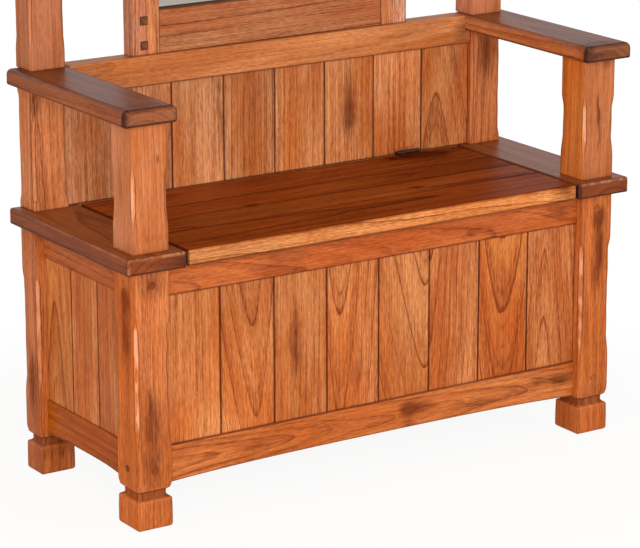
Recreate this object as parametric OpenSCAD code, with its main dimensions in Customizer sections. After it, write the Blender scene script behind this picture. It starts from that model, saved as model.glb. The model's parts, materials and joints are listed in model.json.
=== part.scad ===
// Hall tree bench: a storage chest with a hinged lid and arms, and a mirror frame
// between two tall posts above it. Millimetres, Z up, front towards -Y.
// The origin is on the floor, at the centre of the outer box.

/* [Overall] */
// Height of the seat top above the floor
seat_h = 480; // [440:5:520]
// Height of the arm tops above the floor
arm_h = 726; // [680:2:770]
// Height of the crown board top above the floor
total_h = 1980; // [1800:10:2100]
// Width across the outer faces of the legs
legs_w = 990; // [900:5:1100]
// Depth from the front of the front legs to the back of the rear legs
legs_d = 396; // [370:2:440]

/* [Legs and posts] */
// Side of the square front legs, and width of every post
leg_w = 67; // [60:1:76]
// Depth of the rear legs and of the posts above them
rear_post_d = 53; // [48:1:62]
// Height of the foot block under the neck
foot_h = 53; // [46:1:56]
// Depth of the neck over the foot block, on each side
neck_in = 6.5; // [4:0.5:9]
// Height of the neck's flat band
neck_h = 9; // [5:0.5:12]
// Height of the slopes under and over the neck's flat band
neck_slope = 4; // [2:0.5:5]
// Radius of the foot's lower edges
foot_round = 6; // [3:0.5:9]
// Bevel on the foot's upper edges
foot_ease = 3; // [1:0.5:4]
// Undercut of the leg's lower lip, and the height over which it fades
lip_in = 1.5; // [0:0.5:3]
lip_h = 8; // [4:1:12]
// Setback of the stopped chamfers on each face
chamfer_w = 6; // [3:0.5:9]
// Length of the sloping end of a stopped chamfer
chamfer_run = 16; // [8:1:24]
// Height of the leg chamfer's lower stop above the floor
leg_chamfer_z = 145; // [120:1:170]
// Length of the leg chamfer
leg_chamfer_l = 221; // [160:1:260]
// Height of the arm post chamfer's lower stop above the seat
post_chamfer_z = 42; // [30:1:60]
// Length of the arm post chamfer
post_chamfer_l = 106; // [70:1:130]
// Distance of the mid posts' chamfers from the seat and the arm
mid_chamfer_end = 8; // [5:1:30]
// Distance of the tall posts' chamfers from the arm and the upper rail
tall_chamfer_end = 50; // [30:5:80]

/* [Boards] */
// Thickness of the seat ends, the lid and the arms
board_t = 28; // [22:1:34]
// Overhang of the boards outside the legs
side_overhang = 22; // [12:1:30]
// Overhang of the boards in front of the front legs
front_overhang = 20; // [10:1:30]
// Width of the fixed board at each end of the seat
seat_end_w = 112; // [104:1:124]
// Width of the arm boards
arm_w = 100; // [94:1:112]
// Radius of the arms' top edges
arm_round = 9; // [4:0.5:12]
// Radius of the seat boards' top edges
seat_round = 4; // [2:0.5:8]
// Radius of the boards' lower edges
under_round = 2.5; // [1:0.5:4]

/* [Rails and panels] */
// Thickness of the rails between the legs
rail_t = 25; // [20:1:30]
// Setback of the rails from the leg faces
rail_setback = 15; // [8:1:20]
// Height of the top rails
top_rail_h = 54; // [44:1:70]
// Height of the bottom rails at their ends
bottom_rail_h = 66; // [56:1:80]
// Height of the bottom rails' ends above the floor
bottom_rail_z = 72; // [64:1:90]
// Rise of the arch under the bottom rails
arch_rise = 8; // [2:1:20]
// Flatness of the arch's middle, where 2 is a plain parabola
arch_flat = 3; // [2:1:6]
// Length of the rail tenons
tenon_l = 25; // [15:1:28]
// Thickness of the rail tenons
tenon_t = 10; // [6:1:12]
// Shoulder above and below each tenon
tenon_shoulder = 10; // [9:1:14]
// Thickness of the panel planks
plank_t = 14; // [10:1:18]
// Setback of the chest planks from the rail faces
plank_setback = 3; // [1:0.5:5]
// Number of planks in the front panel and in the seat back
wide_planks = 8; // [6:1:10]
// Number of planks in each side panel
side_planks = 3; // [2:1:4]
// Depth of the grooves that hold the panels
groove_d = 8; // [5:0.5:9]
// Bevel on the planks' long edges
plank_vee = 1.5; // [0.5:0.5:3]
// Length of the tongue between two planks
tongue_l = 5; // [3:0.5:7]
// Thickness of the tongue between two planks
tongue_t = 4; // [3:0.5:5]

/* [Chest inside] */
// Thickness of the chest's rear panel
back_panel_t = 6; // [4:0.5:9]
// Thickness of the chest floor
floor_t = 12; // [9:1:18]
// Height of the chest floor's top
floor_z = 118; // [110:1:128]
// Side of the square cleats under the floor
cleat = 20; // [14:1:24]
// Width of the bearers under the seat ends
bearer_w = 38; // [30:1:45]
// Thickness of the bearers under the seat ends
bearer_t = 22; // [16:1:30]

/* [Lid] */
// Gap between the lid and the seat ends
lid_gap = 4; // [2:0.5:6]
// Setback of the lid's front from the fronts of the seat ends
lid_front_set = 3; // [0:0.5:6]
// Gap between the lid and the seat back
lid_rear_gap = 4; // [3:0.5:6]
// Width of the front lid board
lid_front_board = 114; // [90:1:130]
// Width of each of the two middle lid boards
lid_mid_board = 74; // [60:1:84]
// Width of the battens under the lid
batten_w = 60; // [40:1:80]
// Thickness of the battens under the lid
batten_t = 18; // [12:1:24]
// Distance of the battens from the lid's middle
batten_x = 230; // [150:5:270]
// Distance from the battens' ends to the lid's front and back edges
batten_inset = 65; // [62:1:90]

/* [Hinges] */
// Length of a hinge
hinge_l = 50; // [40:1:60]
// Distance of a hinge's middle from the lid's middle
hinge_x = 288; // [200:1:340]
// Radius of the hinge barrel
barrel_r = 3.8; // [3:0.2:4.4]
// Radius of the hinge pin
pin_r = 1.6; // [1.2:0.1:2]
// Thickness of a hinge leaf
leaf_t = 2.2; // [1.6:0.1:2.4]
// Height of a hinge leaf below the axis
leaf_h = 24; // [20:1:28]
// Height of the hinge axis above the seat top
hinge_rise = 3; // [2:0.5:4]
// Number of knuckles in a hinge
knuckles = 5; // [3:2:7]
// Shank radius of the screws
screw_r = 1.8; // [1.4:0.1:2.2]
// Head radius of the screws
screw_head_r = 3.6; // [3:0.1:4]
// Length of the screws
screw_l = 16; // [12:1:22]

/* [Seat back] */
// Setback of the seat back planks from the post faces
back_plank_set = 10; // [8:0.5:14]
// Setback of the back rail from the post faces
back_rail_set = 5; // [4:0.5:7]
// Height of the back rail, whose top is level with the arms
back_rail_h = 52; // [44:1:70]
// Thickness of the back rail
back_rail_t = 40; // [34:1:42]

/* [Mirror frame] */
// Width of the mirror frame
mirror_w = 582; // [520:2:640]
// Width of the mirror frame's stiles
stile_w = 58; // [54:1:66]
// Thickness of the mirror frame
frame_t = 25; // [22:1:28]
// Setback of the mirror frame from the post faces
mirror_set = 15; // [12:1:18]
// Bevel along the outer front edge of the stiles
stile_bevel = 4; // [2:0.5:6]
// Height of the mirror frame's bottom rail
mirror_bottom_h = 78; // [72:1:100]
// Height of the mirror frame's top rail at its ends
mirror_top_h = 88; // [80:1:110]
// Rise of the arch under the mirror frame's top rail
mirror_arch = 24; // [0:1:28]
// Width of the rebate behind the glass
rebate_w = 10; // [6:1:12]
// Thickness of the mirror glass
glass_t = 4; // [3:0.5:5]
// Thickness of the board behind the glass
backing_t = 8; // [5:0.5:9]
// Length of the tenons of the mirror rails
mirror_tenon_l = 46; // [42:1:50]
// Thickness of the tenons in the mirror frame
mirror_tenon_t = 5; // [4:0.5:5.5]
// Length of the stub tenons at the ends of the stiles
stub_l = 14; // [8:1:20]
// Side of the square pegs
peg = 17; // [12:0.5:18]
// Distance of the pegs from the stile's outer edge
peg_x = 27; // [22:1:29]
// Distance of a peg from the middle of its rail
peg_z = 22; // [18:0.5:22.5]
// Length of the pegs
peg_l = 11; // [9:0.5:12]

/* [Top] */
// Height of the rail between the tall posts
upper_rail_h = 160; // [120:2:200]
// Thickness of the crown board
crown_t = 30; // [22:1:36]
// Overhang of the crown board in front of the posts
crown_front = 40; // [34:1:60]
// Height of the moulding under the crown board
moulding_h = 45; // [30:1:60]
// Projection of the moulding at its top
moulding_out = 20; // [12:1:21]
// Projection of the moulding at its foot
moulding_foot = 7; // [4:1:10]

/* [Coat hooks] */
// Distance of the upper hooks below the upper rail
hook_drop = 190; // [120:5:260]
// Distance between an upper and a lower hook
hook_pitch = 280; // [200:5:330]
// Width of a hook's back plate
hook_plate_w = 22; // [18:1:30]
// Height of a hook's back plate
hook_plate_h = 88; // [84:1:110]
// Thickness of a hook's back plate
hook_plate_t = 4; // [3:0.5:6]
// Radius of the hook's rod
hook_rod_r = 4; // [3:0.5:5]

/* [Fastening] */
// Radius of the dowels between legs, boards and posts
dowel_r = 7; // [5:0.5:7.2]
// Depth of the dowels in the legs and posts
dowel_in = 25; // [18:1:32]
// Depth of the dowels in the arms over the arm posts
dowel_arm = 16; // [10:1:18]
// Distance of the rear dowels from the rear faces
dowel_back = 14; // [12:0.5:15]
// Radius of the round plugs in the front legs
plug_r = 7; // [5:0.5:9]
// Depth of the round plugs
plug_l = 8; // [5:1:14]

/* [Hidden] */
$fn = 48;

// Clearance between a tenon, tongue, dowel or plug and its hole
fit = 0.1;
// Gap between two planks, and at the mitres of the moulding
joint_gap = 0.4;
// Clearance between the hinge's moving and fixed metal
hinge_gap = 0.5;
// Clearance round the chest floor, and over the planks and the glass in their grooves
loose = 0.5;
// Overshoot of a cut past the face that it opens
cut = 1;
// Steps in a rounded edge
round_steps = 4;
// Steps in an arch
arch_steps = 20;

honey = [0.80, 0.46, 0.22];
amber = [0.72, 0.38, 0.17];
walnut = [0.42, 0.21, 0.10];
inside = [0.66, 0.47, 0.30];
iron = [0.13, 0.12, 0.11];

// Planes of the legs and posts
leg_x = legs_w / 2;
leg_in = leg_x - leg_w;
leg_front = (front_overhang - legs_d) / 2;
leg_back = leg_front + leg_w;
rear_y = leg_front + legs_d;
post_y = rear_y - rear_post_d;
post_cx = leg_x - leg_w / 2;
neck_top = foot_h + neck_slope + neck_h;
front_cy = leg_front + leg_w / 2;
rear_cy = rear_y - rear_post_d / 2;

// Planes of the boards
board_front = leg_front - front_overhang;
board_x = leg_x + side_overhang;
seat_z = seat_h - board_t;
arm_z = arm_h - board_t;
seat_in = board_x - seat_end_w;
arm_in = board_x - arm_w;

// Planes of the rails and panels
rail_y = leg_front + rail_setback;
rail_x = leg_x - rail_setback;
back_face = post_y + back_plank_set;
top_rail_z = seat_z - top_rail_h;
bottom_rail_top = bottom_rail_z + bottom_rail_h;
panel_z = bottom_rail_top - groove_d;
panel_h = top_rail_z - bottom_rail_top + 2 * groove_d;
panel_y = rail_y + plank_setback;
panel_x = rail_x - plank_setback;
back_panel_y = back_face + (rail_t - back_panel_t) / 2;
back_rail_z = arm_h - back_rail_h;
back_rail_y = post_y + back_rail_set;

// Planes of the lid
lid_x = seat_in - lid_gap;
lid_y0 = board_front + lid_front_set;
lid_y1 = back_face - lid_rear_gap;
hinge_y = back_face - barrel_r - 0.4;
hinge_z = seat_h + hinge_rise;
notch_y = hinge_y - barrel_r - hinge_gap;
knuckle_gap = 0.4;
knuckle_l = (hinge_l - (knuckles - 1) * knuckle_gap) / knuckles;
pin_head_r = pin_r + 1;
pin_head_l = 1.2;
screw_head_l = 2;
hinge_screw_step = hinge_l / 3;
hinge_screw_drop = (leaf_h + barrel_r) / 2;

// Planes of the upper part
crown_z = total_h - crown_t;
upper_rail_z = crown_z - upper_rail_h;
mirror_y = post_y + mirror_set;
mirror_back = mirror_y + frame_t;
mirror_x = mirror_w / 2;
mirror_in = mirror_x - stile_w;
glass_y = mirror_back - glass_t - backing_t;
mirror_tenon_y = (mirror_y + glass_y) / 2;
mirror_bottom_top = arm_h + mirror_bottom_h;
mirror_top_z = upper_rail_z - mirror_top_h;
glass_z0 = mirror_bottom_top - rebate_w;
glass_z1 = mirror_top_z + mirror_arch + rebate_w;
upper_rail_t = back_rail_t;
hook_x = mirror_x - stile_w / 2;
hook_zs = [upper_rail_z - hook_drop, upper_rail_z - hook_drop - hook_pitch];
// Each prong: height on the plate, straight length, bend radius, rise and ball radius
prongs = [[16, 22, 14, 16, 7], [-22, 8, 11, 4, 6]];
hook_screw_z = [-36, 36];

// Points of an arc from angle a0 to a1, or one point where the radius is nothing
function arc(cx, cy, r, a0, a1, n = round_steps) =
    r > 0 ? [for (i = [0:n]) let (a = a0 + (a1 - a0) * i / n) [cx + r * cos(a), cy + r * sin(a)]]
          : [[cx, cy]];

// Section of a board with its own radius at each corner, anticlockwise from the lower left
function section(x0, x1, z0, z1, r) = concat(
    arc(x0 + r[0], z0 + r[0], r[0], 180, 270), arc(x1 - r[1], z0 + r[1], r[1], 270, 360),
    arc(x1 - r[2], z1 - r[2], r[2], 0, 90), arc(x0 + r[3], z1 - r[3], r[3], 90, 180));

// Right side of a leg's outline, from the foot to the top
function leg_side(h, top) = concat(
    arc(h - foot_round, foot_round, foot_round, -90, 0),
    [[h, foot_h - foot_ease], [h - foot_ease, foot_h], [h - neck_in, foot_h + neck_slope],
     [h - neck_in, neck_top], [h - lip_in, neck_top + neck_slope], [h, neck_top + neck_slope + lip_h], [h, top]]);

function leg_outline(h, top) = let (r = leg_side(h, top))
    concat(r, [for (i = [len(r) - 1:-1:0]) [-r[i][0], r[i][1]]]);

// Outline of a rail whose lower edge is arched
function arched(half, z0, z1, rise) = concat(
    [for (i = [0:arch_steps]) let (t = 2 * i / arch_steps - 1)
        [t * half, z0 + rise * (1 - pow(abs(t), arch_flat))]],
    [[half, z1], [-half, z1]]);

// Outline of one plank seen from above: outer face on the X axis, tongue on the right
function plank(w, first, last) = let (
    x0 = first ? -groove_d : 0, x1 = last ? w + groove_d : w - joint_gap,
    m = plank_t / 2, a = tongue_t / 2, g = tongue_l + 2 * joint_gap)
    concat(
        first ? [[x0, 0]] : [[x0, plank_vee], [x0 + plank_vee, 0]],
        last ? [[x1, 0]] : [[x1 - plank_vee, 0], [x1, plank_vee], [x1, m - a],
                            [x1 + tongue_l, m - a], [x1 + tongue_l, m + a], [x1, m + a]],
        [[x1, plank_t], [x0, plank_t]],
        first ? [] : [[x0, m + a + fit], [x0 + g, m + a + fit], [x0 + g, m - a - fit], [x0, m - a - fit]]);

module slab(x0, x1, y0, y1, z0, z1) {
    translate([x0, y0, z0]) cube([x1 - x0, y1 - y0, z1 - z0]);
}

// Outline in X and Z carried along Y, and outline in Y and Z carried along X
module along_y(y0, y1) { translate([0, y1, 0]) rotate([90, 0, 0]) linear_extrude(y1 - y0) children(); }
module along_x(x0, x1) { translate([x0, 0, 0]) rotate([90, 0, 90]) linear_extrude(x1 - x0) children(); }

// Left piece as drawn, or mirrored to the right
module side(s) { mirror([s > 0 ? 1 : 0, 0, 0]) children(); }

module planks(n, width, h) {
    pitch = width / n;
    for (i = [0:n - 1])
        translate([i * pitch, 0, 0]) linear_extrude(h) polygon(plank(pitch, i == 0, i == n - 1));
}

// A tenon along +X, rooted behind its shoulder, or with c its mortise
module tenon(l, t, h, c) {
    translate([-cut, -t / 2 - c, -h / 2 - c]) cube([cut + l + c, t + 2 * c, h + 2 * c]);
}

// Tenons of the top and bottom rails at one shoulder, pointing along angle a
module rail_tenons(x, y, a, c = 0) {
    for (level = [[top_rail_z, top_rail_h], [bottom_rail_z, bottom_rail_h]])
        translate([x, y, level[0] + level[1] / 2]) rotate([0, 0, a])
            tenon(tenon_l, tenon_t, level[1] - 2 * tenon_shoulder, c);
}

// Grooves of the chest's panels at the left legs
module front_panel_groove() {
    slab(-leg_in - groove_d - fit, -leg_in + cut, panel_y - fit, panel_y + plank_t + fit, panel_z, panel_z + panel_h);
}
module side_panel_groove() {
    slab(-panel_x - fit, -panel_x + plank_t + fit, leg_back - groove_d - fit, post_y + groove_d + fit,
         panel_z, panel_z + panel_h);
}
module back_panel_groove(x) {
    slab(-x - fit, x + fit, back_panel_y - fit, back_panel_y + back_panel_t + fit, panel_z, panel_z + panel_h);
}

// Stopped chamfers on the four corners of a post, cut by a plane that slopes out at both ends
module stopped_chamfers(w, d, z, l) {
    c = chamfer_w / sqrt(2);
    for (sx = [-1, 1], sy = [-1, 1])
        translate([sx * w / 2, sy * d / 2, 0]) rotate([0, 0, atan2(sy, sx)]) rotate([90, 0, 0])
            linear_extrude(2 * leg_w / 3, center = true)
                polygon([[0, z], [-c, z + chamfer_run], [-c, z + l - chamfer_run], [0, z + l],
                         [chamfer_w, z + l], [chamfer_w, z]]);
}

module leg_block(d) {
    intersection() {
        along_y(-d / 2 - cut, d / 2 + cut) polygon(leg_outline(leg_w / 2, seat_z));
        along_x(-leg_w / 2 - cut, leg_w / 2 + cut) polygon(leg_outline(d / 2, seat_z));
    }
}

module dowel(y, z0, z1, c) { translate([-post_cx, y, z0]) cylinder(r = dowel_r + c, h = z1 - z0); }

// Dowels of the left side, longer by c at each end where they are cut as holes
module left_dowels(c = 0) {
    dowel_y = rear_y - dowel_back;
    dowel(front_cy, seat_z - dowel_in - c, seat_h + dowel_in + c, c);
    dowel(dowel_y, seat_z - dowel_in - c, seat_h + dowel_in + c, c);
    dowel(front_cy, arm_z - dowel_in - c, arm_z + dowel_arm + c, c);
    dowel(dowel_y, arm_z - dowel_in - c, arm_h + dowel_in + c, c);
}

// Round plugs in the left front leg's front and outer faces
module left_plugs(c = 0) {
    for (z = [bottom_rail_z + bottom_rail_h / 2, top_rail_z + top_rail_h / 2]) {
        translate([-post_cx, leg_front + plug_l + c, z]) rotate([90, 0, 0])
            cylinder(r = plug_r + c, h = plug_l + (c > 0 ? cut : 0));
        translate([-leg_x - (c > 0 ? cut : 0), front_cy, z]) rotate([0, 90, 0])
            cylinder(r = plug_r + c, h = plug_l + c + (c > 0 ? cut : 0));
    }
}

module front_leg() {
    color(amber) difference() {
        translate([-post_cx, front_cy, 0]) leg_block(leg_w);
        translate([-post_cx, front_cy, 0]) stopped_chamfers(leg_w, leg_w, leg_chamfer_z, leg_chamfer_l);
        rail_tenons(-leg_in, rail_y + rail_t / 2, 180, fit);
        rail_tenons(-rail_x + rail_t / 2, leg_back, -90, fit);
        front_panel_groove();
        side_panel_groove();
        left_dowels(fit);
        left_plugs(fit);
    }
}

module rear_leg() {
    color(amber) difference() {
        translate([-post_cx, rear_cy, 0]) leg_block(rear_post_d);
        translate([-post_cx, rear_cy, 0]) stopped_chamfers(leg_w, rear_post_d, leg_chamfer_z, leg_chamfer_l);
        rail_tenons(-leg_in, back_face + rail_t / 2, 180, fit);
        rail_tenons(-rail_x + rail_t / 2, post_y, 90, fit);
        side_panel_groove();
        back_panel_groove(leg_in + groove_d);
        left_dowels(fit);
    }
}

// Tenons at both ends of one rail along X
module x_tenons(y, z, h) {
    for (s = [0, 1])
        mirror([s, 0, 0]) translate([leg_in, y, z + h / 2]) tenon(tenon_l, tenon_t, h - 2 * tenon_shoulder, 0);
}

module front_top_rail() {
    color(honey) difference() {
        union() {
            slab(-leg_in, leg_in, rail_y, rail_y + rail_t, top_rail_z, seat_z);
            x_tenons(rail_y + rail_t / 2, top_rail_z, top_rail_h);
        }
        slab(-leg_in - cut, leg_in + cut, panel_y - fit, panel_y + plank_t + fit, top_rail_z - cut, panel_z + panel_h);
    }
}

module front_bottom_rail() {
    color(honey) difference() {
        union() {
            along_y(rail_y, rail_y + rail_t) polygon(arched(leg_in, bottom_rail_z, bottom_rail_top, arch_rise));
            x_tenons(rail_y + rail_t / 2, bottom_rail_z, bottom_rail_h);
        }
        slab(-leg_in - cut, leg_in + cut, panel_y - fit, panel_y + plank_t + fit, panel_z, bottom_rail_top + cut);
    }
}

// Tenons at both ends of one left side rail
module y_tenons(z, h) {
    for (end = [[leg_back, -90], [post_y, 90]])
        translate([-rail_x + rail_t / 2, end[0], z + h / 2]) rotate([0, 0, end[1]])
            tenon(tenon_l, tenon_t, h - 2 * tenon_shoulder, 0);
}

module side_top_rail() {
    color(honey) difference() {
        union() {
            slab(-rail_x, -rail_x + rail_t, leg_back, post_y, top_rail_z, seat_z);
            y_tenons(top_rail_z, top_rail_h);
        }
        slab(-panel_x - fit, -panel_x + plank_t + fit, leg_back - cut, post_y + cut, top_rail_z - cut, panel_z + panel_h);
    }
}

module side_bottom_rail() {
    half = (post_y - leg_back) / 2;
    color(honey) difference() {
        union() {
            translate([0, leg_back + half, 0]) along_x(-rail_x, -rail_x + rail_t)
                polygon(arched(half, bottom_rail_z, bottom_rail_top, arch_rise));
            y_tenons(bottom_rail_z, bottom_rail_h);
        }
        slab(-panel_x - fit, -panel_x + plank_t + fit, leg_back - cut, post_y + cut, panel_z, bottom_rail_top + cut);
    }
}

// The rear top rail rises between the seat ends, where it carries the hinges and the planks
module rear_top_rail() {
    color(honey) difference() {
        union() {
            slab(-leg_in, leg_in, back_face, back_face + rail_t, top_rail_z, seat_z);
            slab(-seat_in, seat_in, back_face, back_face + rail_t, seat_z - cut, seat_h);
            x_tenons(back_face + rail_t / 2, top_rail_z, top_rail_h);
        }
        back_panel_groove(leg_in);
        hinges() frame_screw_set(fit);
    }
}

module rear_bottom_rail() {
    color(honey) difference() {
        union() {
            slab(-leg_in, leg_in, back_face, back_face + rail_t, bottom_rail_z, bottom_rail_top);
            x_tenons(back_face + rail_t / 2, bottom_rail_z, bottom_rail_h);
        }
        back_panel_groove(leg_in);
    }
}

module front_planks() {
    color(honey) translate([-leg_in, panel_y, panel_z]) planks(wide_planks, 2 * leg_in, panel_h - loose);
}

module left_side_planks() {
    color(honey) translate([-panel_x, post_y, panel_z]) rotate([0, 0, -90])
        planks(side_planks, post_y - leg_back, panel_h - loose);
}

module right_side_planks() {
    color(honey) translate([panel_x, leg_back, panel_z]) rotate([0, 0, 90])
        planks(side_planks, post_y - leg_back, panel_h - loose);
}

module chest_back_panel() {
    color(inside) slab(-leg_in - groove_d, leg_in + groove_d, back_panel_y, back_panel_y + back_panel_t,
                       panel_z, panel_z + panel_h - loose);
}

// The floor is notched round the four legs
module chest_floor() {
    x1 = rail_x - rail_t - loose;
    x2 = leg_in - loose;
    y1 = rail_y + rail_t + loose;
    y2 = leg_back + loose;
    y3 = post_y - loose;
    y4 = back_face - loose;
    color(inside) translate([0, 0, floor_z - floor_t]) linear_extrude(floor_t)
        polygon([[-x2, y1], [x2, y1], [x2, y2], [x1, y2], [x1, y3], [x2, y3], [x2, y4],
                 [-x2, y4], [-x2, y3], [-x1, y3], [-x1, y2], [-x2, y2]]);
}

module floor_cleats() {
    z1 = floor_z - floor_t;
    xi = rail_x - rail_t;
    y0 = rail_y + rail_t;
    color(inside) {
        slab(-leg_in, leg_in, y0, y0 + cleat, z1 - cleat, z1);
        slab(-leg_in, leg_in, back_face - cleat, back_face, z1 - cleat, z1);
        for (s = [0, 1])
            mirror([s, 0, 0]) slab(-xi, -xi + cleat, leg_back + loose, post_y - loose, z1 - cleat, z1);
    }
}

module seat_bearer() {
    color(inside) slab(-leg_in, -leg_in + bearer_w, rail_y + rail_t, back_face, seat_z - bearer_t, seat_z);
}

// A board with eased edges whose rear edge is square: r_top on its upper edges
module eased_board(x0, x1, z0, z1, r_top) {
    intersection() {
        along_y(board_front, rear_y) polygon(section(x0, x1, z0, z1, [under_round, under_round, r_top, r_top]));
        along_x(x0 - cut, x1 + cut) polygon(section(board_front, rear_y, z0, z1, [under_round, 0, 0, r_top]));
    }
}

module seat_end() {
    color(walnut) difference() {
        eased_board(-board_x, -seat_in, seat_z, seat_h, seat_round);
        left_dowels(fit);
    }
}

module arm_board() {
    color(walnut) difference() {
        eased_board(-board_x, -arm_in, arm_z, arm_h, arm_round);
        left_dowels(fit);
    }
}

// The lid is four boards glued edge to edge, with a fine vee at each joint
module lid_boards() {
    joints = [lid_front_board, lid_front_board + lid_mid_board, lid_front_board + 2 * lid_mid_board];
    color(walnut) difference() {
        along_x(-lid_x, lid_x)
            polygon(section(lid_y0, lid_y1, seat_z, seat_h, [under_round, 0, 0, seat_round]));
        for (j = joints)
            along_x(-lid_x - cut, lid_x + cut)
                polygon([[lid_y0 + j - plank_vee, seat_h], [lid_y0 + j, seat_h - plank_vee],
                         [lid_y0 + j + plank_vee, seat_h], [lid_y0 + j, seat_h + cut]]);
        for (s = [-1, 1])
            slab(s * hinge_x - hinge_l / 2 - cut, s * hinge_x + hinge_l / 2 + cut, notch_y, lid_y1 + cut,
                 seat_z - cut, seat_h + cut);
        hinges() lid_screw_set(fit);
    }
}

module lid_battens() {
    color(inside) for (s = [-1, 1])
        slab(s * batten_x - batten_w / 2, s * batten_x + batten_w / 2, lid_y0 + batten_inset,
             lid_y1 - batten_inset / 2, seat_z - batten_t, seat_z);
}

// Both hinges, each drawn about its axis with X along the pin
module hinges() {
    for (s = [-1, 1]) translate([s * hinge_x, hinge_y, hinge_z]) children();
}

// Screw with its head face at the origin, pointing along +X
module screw(c = 0) {
    rotate([0, 90, 0]) {
        cylinder(r1 = screw_head_r + c, r2 = screw_r + c, h = screw_head_l);
        cylinder(r = screw_r + c, h = screw_l + c);
    }
}

module lid_screw_set(c = 0) {
    for (i = [-1:1]) translate([i * hinge_screw_step, notch_y + leaf_t - hinge_y, -hinge_screw_drop])
        rotate([0, 0, -90]) screw(c);
}

module frame_screw_set(c = 0) {
    for (i = [-1:1]) translate([i * hinge_screw_step, back_face - leaf_t - hinge_y, -hinge_screw_drop])
        rotate([0, 0, 90]) screw(c);
}

// Knuckles of one leaf with their tabs: the fixed leaf has the even ones, the lid's the odd ones
module leaf(first, y0) {
    difference() {
        union() {
            slab(-hinge_l / 2, hinge_l / 2, y0, y0 + leaf_t, -leaf_h, -barrel_r - hinge_gap);
            for (k = [first:2:knuckles - 1])
                translate([-hinge_l / 2 + k * (knuckle_l + knuckle_gap), 0, 0]) {
                    rotate([0, 90, 0]) cylinder(r = barrel_r, h = knuckle_l);
                    slab(0, knuckle_l, y0, y0 + leaf_t, -barrel_r - cut, 0);
                }
        }
        translate([-hinge_l / 2 - cut, 0, 0]) rotate([0, 90, 0]) cylinder(r = pin_r + fit, h = hinge_l + 2 * cut);
    }
}

module lid_hinge_leaves() {
    color(iron) hinges() difference() {
        leaf(1, notch_y - hinge_y);
        lid_screw_set(fit);
    }
}

module frame_hinge_leaves() {
    color(iron) hinges() difference() {
        leaf(0, back_face - leaf_t - hinge_y);
        frame_screw_set(fit);
    }
}

module hinge_pins() {
    color(iron) hinges() {
        translate([-hinge_l / 2, 0, 0]) rotate([0, 90, 0]) cylinder(r = pin_r, h = hinge_l);
        for (s = [0, 1])
            mirror([s, 0, 0]) translate([hinge_l / 2, 0, 0]) rotate([0, 90, 0])
                cylinder(r = pin_head_r, h = pin_head_l);
    }
}

module lid_hinge_screws() { color(iron) hinges() lid_screw_set(); }

module frame_hinge_screws() { color(iron) hinges() frame_screw_set(); }

module arm_post() {
    color(amber) difference() {
        slab(-leg_x, -leg_in, leg_front, leg_back, seat_h, arm_z);
        translate([-post_cx, front_cy, seat_h]) stopped_chamfers(leg_w, leg_w, post_chamfer_z, post_chamfer_l);
        left_dowels(fit);
    }
}

// Height of the part of the back rail that passes under the arm boards, and of its tenons
back_tenon_h = arm_z - back_rail_z;

// Tenons of the back rail and of the upper rail at the left posts
module back_tenon(z, h, c = 0) {
    translate([-leg_in, back_rail_y + back_rail_t / 2, z + h / 2]) rotate([0, 0, 180])
        tenon(tenon_l, tenon_t, h - tenon_shoulder, c);
}

module mid_post() {
    color(amber) difference() {
        slab(-leg_x, -leg_in, post_y, rear_y, seat_h, arm_z);
        translate([-post_cx, rear_cy, seat_h])
            stopped_chamfers(leg_w, rear_post_d, mid_chamfer_end, arm_z - seat_h - 2 * mid_chamfer_end);
        slab(-leg_in - groove_d - fit, -leg_in + cut, back_face - fit, back_face + plank_t + fit,
             seat_h - cut, back_rail_z + groove_d);
        back_tenon(back_rail_z + groove_d, back_tenon_h - groove_d, fit);
        left_dowels(fit);
    }
}

module back_planks() {
    color(honey) translate([-leg_in, back_face, seat_h])
        planks(wide_planks, 2 * leg_in, back_rail_z + groove_d - loose - seat_h);
}

// The back rail is notched round the arm boards, so that its top is level with theirs
module back_rail() {
    color(honey) difference() {
        union() {
            slab(-leg_in, leg_in, back_rail_y, back_rail_y + back_rail_t, back_rail_z, arm_z);
            slab(-arm_in, arm_in, back_rail_y, back_rail_y + back_rail_t, arm_z - cut, arm_h);
            for (s = [0, 1])
                mirror([s, 0, 0]) back_tenon(back_rail_z + groove_d, back_tenon_h - groove_d);
        }
        slab(-leg_in - cut, leg_in + cut, back_face - fit, back_face + plank_t + fit,
             back_rail_z - cut, back_rail_z + groove_d);
        for (s = [0, 1]) mirror([s, 0, 0]) stub_tenons(fit);
    }
}

module upper_post() {
    color(amber) difference() {
        slab(-leg_x, -leg_in, post_y, rear_y, arm_h, crown_z);
        translate([-post_cx, rear_cy, arm_h])
            stopped_chamfers(leg_w, rear_post_d, tall_chamfer_end, upper_rail_z - arm_h - 2 * tall_chamfer_end);
        back_tenon(upper_rail_z, upper_rail_h, fit);
        left_dowels(fit);
    }
}

module upper_rail() {
    color(honey) difference() {
        union() {
            slab(-leg_in, leg_in, back_rail_y, back_rail_y + upper_rail_t, upper_rail_z, crown_z);
            for (s = [0, 1]) mirror([s, 0, 0]) back_tenon(upper_rail_z, upper_rail_h);
        }
        for (s = [0, 1]) mirror([s, 0, 0]) stub_tenons(fit);
    }
}

module crown_board() {
    color(walnut) intersection() {
        along_y(post_y - crown_front, rear_y)
            polygon(section(-board_x, board_x, crown_z, total_h, [under_round, under_round, seat_round, seat_round]));
        along_x(-board_x - cut, board_x + cut)
            polygon(section(post_y - crown_front, rear_y, crown_z, total_h, [under_round, 0, 0, seat_round]));
    }
}

// Cove section of the moulding: out from the wall, and up
cove = concat([[0, 0], [moulding_foot, 0]],
    [for (i = [0:round_steps * 2]) let (a = 90 * i / (round_steps * 2))
        [moulding_out - (moulding_out - moulding_foot) * cos(a),
         moulding_foot + (moulding_h - 2 * moulding_foot) * sin(a)]],
    [[moulding_out, moulding_h], [0, moulding_h]]);

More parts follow.
